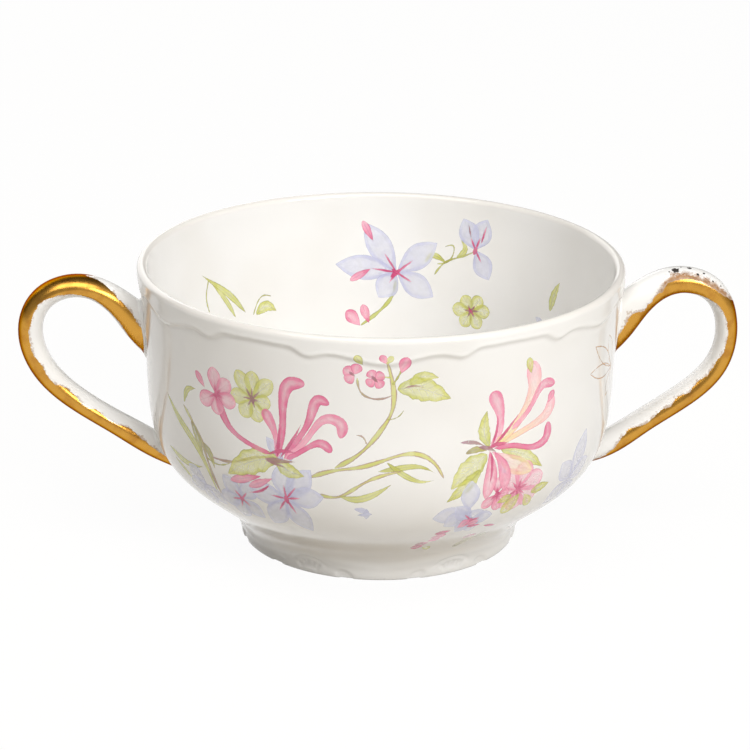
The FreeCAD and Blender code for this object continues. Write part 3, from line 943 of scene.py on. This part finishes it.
# Each brush: shape, paint at the start and the end, outline paint, how dense the
# wash is, how strong the outline is, and how strong the veins are
BRUSHES = {
    "stem": ("stem", LEAF, LEAF, OLIVE, 0.85, 0.75, 0),
    "brown_stem": ("stem", LEAF, UMBER, PLUM, 0.8, 0.7, 0),
    "twig": ("stem", LEAF, LIME, PLUM, 0.85, 0.85, 0),
    "leaf": ("leaf", LEAF, LIME, OLIVE, 0.85, 0.6, 0.5),
    "dark_leaf": ("leaf", OLIVE, LEAF, UMBER, 0.85, 0.6, 0.5),
    "blade": ("blade", LEAF, LIME, OLIVE, 0.85, 0.7, 0.3),
    "trumpet": ("trumpet", ROSE, ROSE, CRIMSON, 0.95, 0.5, 0),
    "pale_trumpet": ("trumpet", BLUSH, ROSE, ROSE, 0.9, 0.6, 0),
    "straw_trumpet": ("trumpet", STRAW, BLUSH, ROSE, 0.85, 0.5, 0),
    "lilac": ("petal", LILAC_DEEP, LILAC, LILAC_DEEP, 0.85, 0.6, 0.25),
    "pale_lilac": ("petal", LILAC_DEEP, LILAC, LILAC_DEEP, 0.75, 0.3, 0),
    "pink": ("round", ROSE, BLUSH, CRIMSON, 0.9, 0.6, 0.25),
    "blush": ("round", ROSE, BLUSH, ROSE, 0.75, 0.8, 0.25),
    "straw": ("round", BLUSH, STRAW, ROSE, 0.7, 0.6, 0.25),
    "lime": ("round", LEAF, LIME, OLIVE, 0.8, 0.6, 0.3),
    "bud": ("round", BLUSH, ROSE, CRIMSON, 0.95, 0.55, 0),
    "streak": ("blade", CRIMSON, ROSE, CRIMSON, 0.95, 0.4, 0),
    "shade": ("blade", PLUM, UMBER, PLUM, 0.8, 0.4, 0),
    "gilt": ("petal", GILT, GILT, GILT, 0.0, 1.0, 0),
}
STREAKS = {"lilac": "streak", "pink": "streak", "blush": "streak", "lime": "shade"}
STREAK_SHARE, STREAK_HALF_WIDTH = 0.45, 0.3
HEART_REACH, HEART_HALF_WIDTH = 0.16, 0.6


def petals(brush, half_width, centre, *tips):
    """Strokes for a flower's petals, dark streaks at their roots and a dab in the middle."""
    centre = np.array(centre, float)
    strokes, streaks = [], []
    for tip in tips:
        reach = np.array(tip) - centre
        strokes.append((brush, half_width, centre, tip))
        if brush in STREAKS:
            streaks.append((STREAKS[brush], STREAK_HALF_WIDTH, centre, centre + reach * STREAK_SHARE))
    if brush in STREAKS:
        heart = (np.array(tips[0]) - centre) * HEART_REACH
        streaks.append((STREAKS[brush], HEART_HALF_WIDTH, centre - heart, centre + heart))
    return strokes + streaks


# %% [markdown]
# ## The bouquets
# Honeysuckle trumpets, star flowers and trailing leaves are old favourites of
# porcelain painters. Strokes painted first lie lowest. One bouquet stands at
# the left and one at the right, with a gilt flower past it. A twig trails
# between them, and a few flowers are scattered inside the cup.

# %% Strokes of each bouquet
LEFT_BOUQUET = (
    [("blade", 0.9, (-66, 37), (-60, 33), (-54, 29.5), (-50, 25), (-48, 18)),
     ("brown_stem", 0.5, (-58, 36.5), (-54, 33.5), (-51.5, 31), (-50, 28), (-48.5, 24), (-46.5, 18)),
     ("dark_leaf", 1.0, (-55, 34), (-52.5, 30.5), (-51, 27)),
     ("dark_leaf", 0.9, (-51, 30.5), (-48.5, 28.5), (-47.3, 25.5)),
     ("blade", 0.8, (-67, 25.5), (-58, 24), (-51, 25)),
     ("blade", 0.6, (-65, 23.5), (-60, 21.5), (-56, 18.5)),
     ("leaf", 0.8, (-57.5, 37), (-56, 40), (-52.5, 41)),
     ("stem", 0.25, (-50, 27.5), (-46, 26.8), (-42, 28)),
     ("brown_stem", 0.4, (-29, 31.5), (-35, 30.5), (-41, 28.5), (-48, 28))]
    + petals("pale_lilac", 1.9, (-52, 21), (-58, 24), (-60, 19), (-53, 15.5), (-47, 17))
    + petals("lilac", 2.2, (-40, 20.5), (-35.5, 25), (-35, 16.5), (-43, 15), (-48, 19), (-45, 25))
    + petals("lilac", 2.5, (-27, 23), (-28, 30.5), (-20.5, 30), (-17.5, 24.5), (-22, 15), (-33, 15.5),
             (-37, 23.5))
    + [("lilac", 1.3, (-27, 31), (-31.5, 35.5)), ("lilac", 1.1, (-25.5, 31), (-24.5, 36)),
       ("pink", 1.0, (-33, 27), (-42.5, 24.3)), ("pink", 0.9, (-30, 27), (-37, 24)),
       ("leaf", 2.9, (-28.5, 31.5), (-33, 30.5), (-38, 28.5), (-43, 25.5)),
       ("streak", 0.35, (-31, 25.5), (-33, 24), (-38, 22.5)),
       ("leaf", 1.7, (-29, 31), (-26, 29.3), (-22, 28.5)),
       ("trumpet", 1.0, (-30, 32), (-37, 33.5), (-41.5, 35.5), (-44, 38.5), (-45, 41))]
    + petals("lime", 1.8, (-35, 42.5), (-39, 47.8), (-34.5, 48.3), (-29.5, 47), (-30, 42), (-33, 38),
             (-38, 38.5), (-41, 42.5))
    + petals("pink", 1.8, (-45.5, 41.5), (-46, 47), (-41, 45), (-39.5, 40.5), (-45, 37.3), (-51, 39))
    + [("bud", 0.9, (-49, 42), (-52, 45)),
       ("pale_trumpet", 1.2, (-28.5, 31.5), (-29, 36), (-32, 41)),
       ("trumpet", 1.4, (-29, 31.5), (-27.3, 37), (-27, 42.5), (-25, 47), (-21.5, 47.3)),
       ("trumpet", 1.15, (-27, 31.5), (-23, 36.5), (-20.3, 41), (-18.3, 44.4), (-16, 43.6)),
       ("pale_trumpet", 1.2, (-27, 31.5), (-22, 35.5), (-19.3, 38.8), (-16.3, 40.8), (-13.3, 39.8),
        (-13.6, 37)),
       ("trumpet", 1.0, (-26.5, 31.5), (-22, 34), (-17.6, 35.6), (-15.5, 34)),
       ("streak", 0.4, (-28, 31.5), (-24.2, 36.5), (-22.4, 39.5)),
       ("streak", 0.4, (-28.6, 31.5), (-28.2, 35.5), (-28, 39)),
       ("streak", 0.45, (-31, 32), (-27, 33.2), (-23.5, 33)),
       ("shade", 0.6, (-32, 31), (-28, 31), (-24, 31.3)),
       ("shade", 0.35, (-32, 30.8), (-29, 30.2), (-26, 29.8))])
TWIG = (
    [("twig", 0.6, (-21, 28.3), (-15, 30.3), (-9, 31.3), (-2, 33.3), (4, 34), (8, 32), (10.5, 28.5)),
     ("blade", 0.7, (-5, 30.5), (0, 31.2), (5, 31.3), (8.5, 29.8)),
     ("blade", 0.65, (-3, 32.5), (1, 29.8), (5.5, 28.2), (8.5, 28.4)),
     ("twig", 0.5, (-19.5, 25), (-14, 24.8), (-11, 26.3), (-6, 29), (0.5, 30.6)),
     ("blade", 0.85, (-14, 25), (-10, 24.4), (-6, 25.5), (-1.5, 28)),
     ("twig", 0.62, (-15, 30.8), (-9.5, 33.8), (-6.3, 36.6), (-3.6, 39.8), (-2.2, 42), (-1.5, 45), (-2, 49),
      (-3.2, 53)),
     ("brown_stem", 0.25, (-7.5, 36), (-8.6, 37.6), (-10, 37.8)),
     ("stem", 0.2, (-3, 41), (-0.5, 41.6), (0.8, 43)),
     ("brown_stem", 0.32, (-9.7, 49.5), (-8.7, 46.3), (-5, 45.2), (-1.7, 46)),
     ("stem", 0.3, (-1.9, 48), (-0.5, 50), (0.4, 51.6)),
     ("stem", 0.3, (-2.2, 49.5), (-4.5, 49.6), (-5.6, 49.2)),
     ("leaf", 2.6, (-0.8, 47.2), (3, 47.4), (7, 46.4), (11.5, 44.8)),
     ("leaf", 1.3, (1.8, 48), (5, 49.6), (8.5, 49.2)),
     ("shade", 0.25, (0.5, 47.4), (3.5, 47.8), (6, 47)),
     ("pale_lilac", 0.7, (-10.6, 22.3), (-6.8, 21.7)), ("pale_lilac", 0.7, (-7.4, 22.5), (-7.6, 19.8)),
     ("pale_lilac", 0.5, (-9.8, 20.8), (-6, 21.2))]
    + petals("bud", 1.2, (-10.3, 50), (-12.8, 51.2), (-12.3, 48.5), (-9.5, 52.2))
    + petals("bud", 1.1, (-5.8, 49.2), (-7, 51), (-7.6, 48), (-4, 47.6), (-3.8, 50.4))
    + [("bud", 1.25, (0, 50.4), (1.3, 53.8)),
       ("lime", 0.9, (-8.4, 52), (-10.2, 54)), ("bud", 0.8, (-3, 52.4), (-4.6, 54.2)),
       ("lime", 0.7, (-3.4, 52.4), (-1.8, 54)), ("shade", 0.4, (-6.6, 50), (-5, 48.4)),
       ("shade", 0.35, (-11.6, 50.6), (-10, 49.6))])
RIGHT_BOUQUET = (
    [("shade", 0.5, (14, 35.6), (17.5, 35.3), (20.5, 34.2)),
     ("dark_leaf", 0.8, (15.5, 33.2), (18, 33.8), (21, 33.2)),
     ("leaf", 2.6, (21, 32.5), (17, 30), (12.3, 26)),
     ("leaf", 1.6, (19.5, 29.5), (15.5, 26), (11.5, 23.2)),
     ("leaf", 1.4, (21.5, 34), (20, 37), (20.5, 41.5)),
     ("leaf", 1.6, (24.5, 33), (30, 31.3), (37.5, 27))]
    + petals("pale_lilac", 2.1, (17.5, 20.5), (8.5, 19.5), (12, 17), (17, 15), (17.5, 27.5), (22.5, 17))
    + petals("lilac", 1.8, (19, 18), (14, 22), (16, 14.6), (21, 14.2), (25, 18.5))
    + petals("pale_lilac", 2.4, (50, 21), (43.5, 16.5), (45, 26), (54.5, 31), (58, 24), (53, 15.5))
    + [("pale_lilac", 1.3, (24, 31.5), (27, 27.5))]
    + petals("blush", 2.4, (30.5, 23.5), (24.5, 21), (26, 28), (32.5, 29.5), (38, 25.5), (36.5, 20),
             (30.5, 18.5))
    + petals("pink", 1.3, (24.5, 23.5), (21, 20.7), (25.5, 19.5), (28, 23.3), (24.5, 27.3))
    + [("lime", 1.8, (31.5, 22.5), (27.5, 18.2)), ("lime", 1.2, (33, 22), (36, 18.6)),
       ("leaf", 1.0, (29, 22.5), (25, 21.3)), ("leaf", 1.3, (35, 22), (41, 22.8)),
       ("straw", 1.9, (22, 33), (27, 30), (34, 27)),
       ("pink", 1.5, (21.5, 33.4), (22.3, 28.5), (21.5, 22.8)),
       ("pink", 1.4, (22.6, 33), (25.6, 29), (26.4, 24)),
       ("pale_trumpet", 1.5, (22, 33.5), (24, 37.6), (23.7, 41), (21.5, 45.2)),
       ("straw_trumpet", 1.3, (22.5, 34), (28, 35.3), (34, 36.8), (38, 38.6), (38.8, 41.8)),
       ("straw_trumpet", 1.75, (22.5, 34), (28, 37.3), (31.5, 41.2), (33, 45), (31.3, 49.8)),
       ("pale_trumpet", 1.1, (27, 36.6), (33, 41.3), (35.8, 44.4), (39.5, 43.8)),
       ("trumpet", 1.1, (22.5, 33.5), (28.5, 33.2), (34.5, 32), (37.6, 33), (38, 36.4)),
       ("bud", 0.9, (37.6, 40.2), (39.3, 42.6)),
       ("streak", 0.4, (22.5, 34), (26, 36.8), (29.3, 40)),
       ("streak", 0.35, (22, 34), (23.2, 37.5), (23.1, 41)),
       ("streak", 0.35, (22, 33), (22.4, 29), (22, 25.5)),
       ("streak", 0.5, (20.5, 33.5), (23, 34.2), (27, 34)),
       ("shade", 0.5, (18.5, 34.3), (21, 33.8), (23.5, 32.6)),
       ("lime", 0.9, (31.8, 47.3), (30.6, 50.8)),
       ("streak", 0.9, (5.6, 9.4), (10, 10)), ("streak", 0.9, (6.4, 10.6), (10.8, 11.4)),
       ("bud", 0.9, (9.4, 12), (13, 13)), ("bud", 0.9, (9.8, 13.2), (14, 14.4)),
       ("streak", 0.7, (10.4, 14.8), (14.8, 15.6)), ("lime", 0.9, (9.4, 9.3), (12.8, 8.6)),
       ("bud", 1.2, (16, 16.2), (18.6, 18.2)), ("pink", 0.9, (17.8, 16.9), (21.4, 17.5)),
       ("streak", 0.5, (18.6, 16.2), (23, 16.2)), ("streak", 0.5, (24, 15.6), (29.4, 14.4)),
       ("dark_leaf", 1.0, (21.6, 7.8), (25, 9.4)), ("dark_leaf", 1.0, (22.8, 9.2), (27, 10.8)),
       ("streak", 0.7, (21.2, 11.6), (25.4, 12.4)), ("dark_leaf", 0.9, (25.4, 10.8), (30, 11.8))])
GILT_FLOWER = petals("gilt", 1.6, (70.5, 39.5), (64.4, 47.8), (55.5, 47.6), (54, 42.2), (66, 34.5))
INSIDE_FLOWERS = (
    [("stem", 0.55, (171, 38.5), (172, 35), (175.3, 31.5), (181, 28)),
     ("stem", 0.32, (160.5, 40), (157.5, 43), (153, 44.6), (149.5, 46)),
     ("stem", 0.25, (160, 42.5), (156, 43.8), (155.5, 46.8), (158, 46.3)),
     ("leaf", 0.8, (157.5, 43), (161.5, 44.2), (163.5, 42.2)),
     ("leaf", 0.8, (154.5, 44.2), (152, 46.5), (153.5, 48.3)),
     ("blade", 0.8, (215.5, 34), (220.5, 38.5), (226.5, 42.3), (231.5, 45.3)),
     ("blade", 0.65, (219, 33.5), (222.5, 38), (228, 43)),
     ("stem", 0.3, (228.5, 43.5), (230, 40), (229, 36.5)),
     ("leaf", 1.5, (212, 33), (209, 34.5), (205.5, 33)), ("stem", 0.25, (213, 33), (209.5, 37), (207, 36.5)),
     ("leaf", 1.2, (122.5, 37.5), (121.5, 41), (119.5, 44.5)),
     ("pale_lilac", 0.9, (124, 33.5), (128, 35.2))]
    + petals("lilac", 2.8, (171, 40), (160, 47), (180, 50.8), (188, 42), (176, 34.3), (160.5, 35))
    + [("pink", 0.9, (177.5, 46.8), (180.5, 51.3)), ("pink", 0.9, (178, 40.8), (184, 38.2)),
       ("streak", 0.4, (172.5, 40.8), (169.3, 39.2))]
    + petals("lilac", 2.5, (149, 46.5), (146, 53.5), (153, 53), (144.3, 40.5))
    + [("streak", 0.3, (147.5, 48), (146, 52.5)), ("shade", 0.25, (150.5, 49), (151.5, 52)),
       ("bud", 1.5, (181, 28), (185, 31.5)), ("pink", 1.1, (178.5, 28.5), (180.5, 32.8))]
    + petals("lime", 1.7, (149.3, 33), (143.5, 33.5), (146.3, 36.5), (152, 36.2), (155, 33), (152, 29.3),
             (146.5, 29.3))
    + [("streak", 0.3, (150.2, 33.8), (148.4, 32))])

# %% Lay the strokes on the wall
MM_PER_TURN_DEGREE = math.radians(1) * WALL_RADIUS
ROW_SPACING = 0.5
LEAST_ROWS, STROKE_CROWDING = 9, 0.09
# Strokes with a smaller half width than this get fewer points across
WIDE_STROKE, WIDE_COLUMNS, THIN_COLUMNS = 0.6, 9, 3
FILM_LIFT, FILM_LAYER = 0.03, 0.0018


def swell(shape, along):
    """Share of a stroke's full width, from its start at 0 to its end at 1."""
    if shape == "stem":
        ends = np.clip(np.minimum(along, 1 - along) * 14, 0, 1) ** 0.5
        return ends * (0.82 + 0.18 * np.sin(along * 19))
    if shape == "trumpet":
        body = (0.55 + 0.45 * smooth_step((along - 0.45) / 0.4)) * np.clip(along * 12, 0, 1)
        return body * np.sqrt(1 - np.clip((along - 0.86) / 0.14, 0, 1) ** 2)
    if shape == "leaf":
        return np.sin(np.pi * along ** 0.8) ** 0.85 * (0.92 + 0.08 * np.sin(along * 27))
    if shape == "blade":
        return np.sin(np.pi * along ** 0.75)
    if shape == "round":
        return np.sin(np.pi * along ** 1.5) ** 0.6
    return np.sin(np.pi * along ** 1.1) ** 0.9


def on_outside(angles, heights, lift):
    """The moulded wall, with the film lifted square to it as the relief was."""
    off = relief(angles, heights) + lift
    outward, upward = (np.interp(heights, wall_samples[:, 1], wall_normals[:, axis]) for axis in (0, 1))
    return at_angle(wall_radius(heights) + off * outward, angles, heights + off * upward)


def on_inside(angles, heights, lift):
    """The inner wall, with the film lifted off it towards the axis."""
    return at_angle(inside_radius(heights) - lift, angles, heights)


def stroke_grid(path, half_width, shape):
    """A stroke's points on the flattened wall, their places in it, and their share of its length."""
    curve = Curve(np.array(path, float) * (MM_PER_TURN_DEGREE, 1))
    rows = max(LEAST_ROWS, int(curve.length / ROW_SPACING) + 2)
    steps = np.linspace(0, 1, rows)
    along = steps - np.sin(2 * np.pi * steps) * STROKE_CROWDING
    across = np.linspace(-1, 1, THIN_COLUMNS if half_width < WIDE_STROKE else WIDE_COLUMNS)
    way = curve.along(along * curve.length)
    sideways = np.column_stack((-way[:, 1], way[:, 0]))
    width = half_width * swell(shape, along)
    aside = across[None, :] * width[:, None]
    flat = curve.at(along * curve.length)[:, None, :2] + aside[..., None] * sideways[:, None, :]
    rim = (1 - np.abs(across))[None, :] * width[:, None]
    down = np.broadcast_to((along * curve.length)[:, None], rim.shape)
    return flat, np.stack((rim, aside, down), axis=-1), np.broadcast_to(along[:, None], rim.shape)


def lay_strokes(name, strokes, on_wall):
    """One mesh of films, which tells the material where in a stroke each point is."""
    points, faces, places, tints, lines, veins = [], [], [], [], [], []
    total = 0
    for layer, (brush, half_width, *path) in enumerate(strokes):
        shape, start, end, line, density, outline_strength, vein_strength = BRUSHES[brush]
        flat, place, along = stroke_grid(path, half_width, shape)
        shell = on_wall(flat[..., 0] / MM_PER_TURN_DEGREE, flat[..., 1], FILM_LIFT + FILM_LAYER * layer)
        points.append(shell.reshape(-1, 3))
        places.append(place.reshape(-1, 3))
        for face in grid_faces(*along.shape, False):
            ordered = face[::-1] if on_wall is on_outside else face
            faces.append(tuple(total + corner for corner in ordered))
        total += along.size
        share = along.reshape(-1, 1)
        tint = np.array(start) * (1 - share) + np.array(end) * share
        tints.append(np.column_stack((tint, np.full(along.size, density))))
        lines.append(np.tile((*line, outline_strength), (along.size, 1)))
        veins.append(np.full(along.size, vein_strength))
    film = make_mesh(name, np.vstack(points), faces)
    store(film, "stroke", np.vstack(places), "FLOAT_VECTOR")
    store(film, "tint", np.vstack(tints), "FLOAT_COLOR")
    store(film, "line", np.vstack(lines), "FLOAT_COLOR")
    store(film, "veins", np.concatenate(veins))
    film.visible_shadow = film.visible_diffuse = film.visible_glossy = False
    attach(film, "root")
    print(name, len(strokes), "strokes,", len(faces), "faces")
    return film


# %% Enamel material
BRUSHED_EDGE = {"Wander": 0.16, "Wander Scale": 900.0, "Fray": 0.16, "Softness": 0.14}
ENAMEL_COAT = 0.35
# Distances in millimetres at which a drawn line starts to fade and is gone
OUTLINE_FADE, MIDRIB_FADE = (0.08, 0.42), (0.04, 0.2)
VEIN_SPACING, VEIN_FADE, VEIN_SHARE = 1.5, (0.04, 0.16), 0.7
PALER_RANGE, PALER_BY = (0.25, 1.3), 0.4
WASH_NOISE, WASH_RANGE, WASH_GAIN, WASH_BASE = (520.0, 3.0), (0.25, 0.55), 0.9, 0.55


def drawn_lines(tree, rim, aside, down, outline_share, vein_share):
    """Mask of a stroke's outline, its midrib and its side veins."""
    outline_mask = less(tree, ramp(tree, rim, *OUTLINE_FADE))
    from_middle = formula(tree, "ABSOLUTE", aside)
    midrib = less(tree, ramp(tree, from_middle, *MIDRIB_FADE))
    slant = formula(tree, "DIVIDE", formula(tree, "SUBTRACT", down, from_middle), VEIN_SPACING)
    from_vein = formula(tree, "ABSOLUTE", formula(tree, "SUBTRACT", formula(tree, "FRACT", slant), 0.5))
    side_vein = product(tree, less(tree, ramp(tree, from_vein, *VEIN_FADE)), VEIN_SHARE)
    ribs = product(tree, formula(tree, "MAXIMUM", midrib, side_vein), vein_share)
    return formula(tree, "MAXIMUM", product(tree, outline_mask, outline_share), ribs)


def make_enamel(name, metallic, roughness):
    """Washes that are paler inside, with drawn outlines and veins."""
    material, tree, shader = new_material(name)
    for socket, value in (("Coat Weight", ENAMEL_COAT), ("Coat Roughness", COAT_ROUGH),
                          ("Metallic", metallic), ("Roughness", roughness)):
        shader.inputs[socket].default_value = value
    place = add_node(tree, "ShaderNodeSeparateXYZ", wires={0: stored(tree, "stroke").outputs["Vector"]})
    rim, aside, down = place.outputs
    tint, line = stored(tree, "tint"), stored(tree, "line")
    cover = place_group(tree, ragged_edge, BRUSHED_EDGE, {"Depth": rim}).outputs["Mask"]
    wash = noise(tree, *WASH_NOISE)
    drawn = drawn_lines(tree, rim, aside, down, line.outputs["Alpha"], stored(tree, "veins").outputs["Fac"])
    drawn = product(tree, drawn, ramp(tree, wash, *WASH_RANGE))
    paler = formula(tree, "MULTIPLY_ADD", ramp(tree, rim, *PALER_RANGE), -PALER_BY, 1.0)
    uneven = formula(tree, "MULTIPLY_ADD", wash, WASH_GAIN, WASH_BASE)
    body = product(tree, tint.outputs["Alpha"], paler, uneven)
    strength = add_node(tree, "ShaderNodeClamp", wires={0: formula(tree, "MAXIMUM", body, drawn)}).outputs[0]
    colour = blend_colours(tree, drawn, tint.outputs["Color"], line.outputs["Color"])
    tree.links.new(colour, shader.inputs["Base Color"])
    tree.links.new(product(tree, cover, strength), shader.inputs["Alpha"])
    glaze = place_group(tree, fired_glaze, GLAZE)
    tree.links.new(glaze_bump(tree, glaze.outputs["Height"]), shader.inputs["Normal"])
    return material


enamel = make_enamel("enamel", 0.0, 0.07)
gilt = make_enamel("gilt_line", 0.6, 0.3)
for name, strokes, on_wall, paint in (("spray_left", LEFT_BOUQUET, on_outside, enamel),
                                      ("twig", TWIG, on_outside, enamel),
                                      ("spray_right", RIGHT_BOUQUET, on_outside, enamel),
                                      ("gilt_flower", GILT_FLOWER, on_outside, gilt),
                                      ("spray_inside", INSIDE_FLOWERS, on_inside, enamel)):
    lay_strokes(name, strokes, on_wall).data.materials.append(paint)

# %% [markdown]
# ## Camera
# The photograph looks down on the cup from a little above the rim, with a long lens. These values come from
# fitting a camera to the rim, the foot and the handles.

# %% Camera
CAMERA_DISTANCE = 0.550
CAMERA_TARGET_HEIGHT = 0.028
CAMERA_AROUND = math.radians(-4.7)
CAMERA_ELEVATION = math.radians(20.51)
CAMERA_ROLL = math.radians(0.685)
CAMERA_PAN, CAMERA_TILT = -0.0018, 0.00794
LENS_LENGTH, SENSOR_WIDTH, NEAREST = 130.32, 36.0, 0.01


def make_camera():
    """The photograph's camera: placed round the cup, then shifted and rolled a little."""
    back = Vector((math.sin(CAMERA_AROUND) * math.cos(CAMERA_ELEVATION),
                   -math.cos(CAMERA_AROUND) * math.cos(CAMERA_ELEVATION), math.sin(CAMERA_ELEVATION)))
    right = Vector((math.cos(CAMERA_AROUND), math.sin(CAMERA_AROUND), 0))
    overhead = right.cross(-back)
    forward = (-back + right * CAMERA_PAN + overhead * CAMERA_TILT).normalized()
    right = forward.cross(overhead).normalized()
    overhead = right.cross(forward)
    level = right * math.cos(CAMERA_ROLL) + overhead * math.sin(CAMERA_ROLL)
    upright = overhead * math.cos(CAMERA_ROLL) - right * math.sin(CAMERA_ROLL)
    lens = bpy.data.cameras.new("camera")
    lens.lens = LENS_LENGTH
    lens.sensor_width = SENSOR_WIDTH
    lens.clip_start = NEAREST
    camera = bpy.data.objects.new("camera", lens)
    bpy.context.scene.collection.objects.link(camera)
    place = back * CAMERA_DISTANCE + Vector((0, 0, CAMERA_TARGET_HEIGHT))
    turn = Matrix((level, upright, -forward)).transposed()
    camera.matrix_world = Matrix.Translation(place) @ turn.to_4x4()
    bpy.context.scene.camera = camera


make_camera()

# %% [markdown]
# ## Floor and light
# A pale sweep of paper and large soft lamps, as for a catalogue. The camera
# sees the paper as white, and so does the glaze in its reflections, but the
# paper still takes the soft shadow under the foot.

# %% Floor
FLOOR_PAPER = (0.50, 0.47, 0.42)
FLOOR_SIZE = 3.0
FLOOR_GLOW, FLOOR_WHITE, FLOOR_ROUGH = 0.92, 1.04, 0.9
FLOOR_GRAIN, GRAIN_GAIN, GRAIN_BASE = {"Scale": 40.0, "Detail": 4.0}, 0.02, 0.99


def make_floor():
    """A large sheet of paper that looks white and still takes shadows."""
    half = FLOOR_SIZE / 2
    corners = [(x * half, y * half, 0) for x, y in ((-1, -1), (1, -1), (1, 1), (-1, 1))]
    mesh = bpy.data.meshes.new("floor")
    mesh.from_pydata(corners, [], [(0, 1, 2, 3)])
    floor = bpy.data.objects.new("floor", mesh)
    bpy.context.scene.collection.objects.link(floor)
    material, tree, shader = new_material("white_paper")
    shader.inputs["Roughness"].default_value = FLOOR_ROUGH
    shader.inputs["Specular IOR Level"].default_value = 0.0
    grain = add_node(tree, "ShaderNodeTexNoise", FLOOR_GRAIN).outputs["Fac"]
    tone = formula(tree, "MULTIPLY_ADD", grain, GRAIN_GAIN, GRAIN_BASE)
    paper = blend_colours(tree, 1.0, FLOOR_PAPER, tone, "MULTIPLY")
    tree.links.new(paper, shader.inputs["Base Color"])
    glow = add_node(tree, "ShaderNodeEmission", {"Strength": FLOOR_WHITE})
    seen = tree.nodes.new("ShaderNodeLightPath").outputs
    looked_at = formula(tree, "MAXIMUM", seen["Is Camera Ray"],
                        formula(tree, "MAXIMUM", seen["Is Glossy Ray"], seen["Is Transmission Ray"]))
    mixer = add_node(tree, "ShaderNodeMixShader", None,
                     {0: product(tree, looked_at, FLOOR_GLOW), 1: shader.outputs[0], 2: glow.outputs[0]})
    output = next(node for node in tree.nodes if node.type == "OUTPUT_MATERIAL")
    tree.links.new(mixer.outputs[0], output.inputs["Surface"])
    mesh.materials.append(material)


make_floor()


# %% World and lamps
WORLD_HORIZON, WORLD_TOP, WORLD_BACK_SHADE, WORLD_LEFT_SHADE = 0.52, 0.30, 0.8, 0.3
WORLD_TINT = (1, 0.97, 0.93, 1)
# How far upwards, backwards and leftwards the room's light keeps changing
WORLD_RISE, WORLD_BACK, WORLD_LEFT = 0.8, (-0.1, 0.6), (0.1, -0.8)
CUP_MIDDLE = Vector((0, 0, 0.03))
LAMP_SHAPE = 0.7
# Each lamp: place and width in metres, and power in watts
LAMPS = {"key_right": ((0.43, -0.71, 0.52), 0.42, 5.6),
         "top": ((-0.10, -0.30, 0.85), 0.9, 5.7),
         "fill_back": ((-0.35, 0.85, 0.30), 0.9, 2.8)}


def make_world():
    """Even room light, darker behind the cup and at its left."""
    world = bpy.data.worlds.new("studio")
    bpy.context.scene.world = world
    world.use_nodes = True
    tree = world.node_tree
    tree.nodes.clear()
    toward = tree.nodes.new("ShaderNodeTexCoord").outputs["Generated"]
    parts = add_node(tree, "ShaderNodeSeparateXYZ", None, {0: toward})
    strength = add_node(tree, "ShaderNodeMapRange",
                        {"From Max": WORLD_RISE, "To Min": WORLD_HORIZON, "To Max": WORLD_TOP},
                        {"Value": parts.outputs["Z"]})
    behind = ramp(tree, parts.outputs["Y"], *WORLD_BACK)
    beside = ramp(tree, parts.outputs["X"], *WORLD_LEFT)
    shaded = product(tree, strength.outputs["Result"],
                     formula(tree, "MULTIPLY_ADD", behind, -WORLD_BACK_SHADE, 1.0),
                     formula(tree, "MULTIPLY_ADD", beside, -WORLD_LEFT_SHADE, 1.0))
    light = add_node(tree, "ShaderNodeBackground", {"Color": WORLD_TINT}, {"Strength": shaded})
    output = tree.nodes.new("ShaderNodeOutputWorld")
    tree.links.new(light.outputs[0], output.inputs["Surface"])


def softbox(name, place, width, power):
    """A rectangular lamp aimed at the middle of the cup."""
    lamp = bpy.data.lights.new(name, "AREA")
    lamp.shape = "RECTANGLE"
    lamp.size = width
    lamp.size_y = width * LAMP_SHAPE
    lamp.energy = power
    holder = bpy.data.objects.new(name, lamp)
    bpy.context.scene.collection.objects.link(holder)
    holder.location = place
    aim = CUP_MIDDLE - Vector(place)
    holder.rotation_euler = aim.to_track_quat("-Z", "Y").to_euler()


make_world()
for name, lamp in LAMPS.items():
    softbox(name, *lamp)
bpy.context.scene.view_settings.view_transform = "Standard"
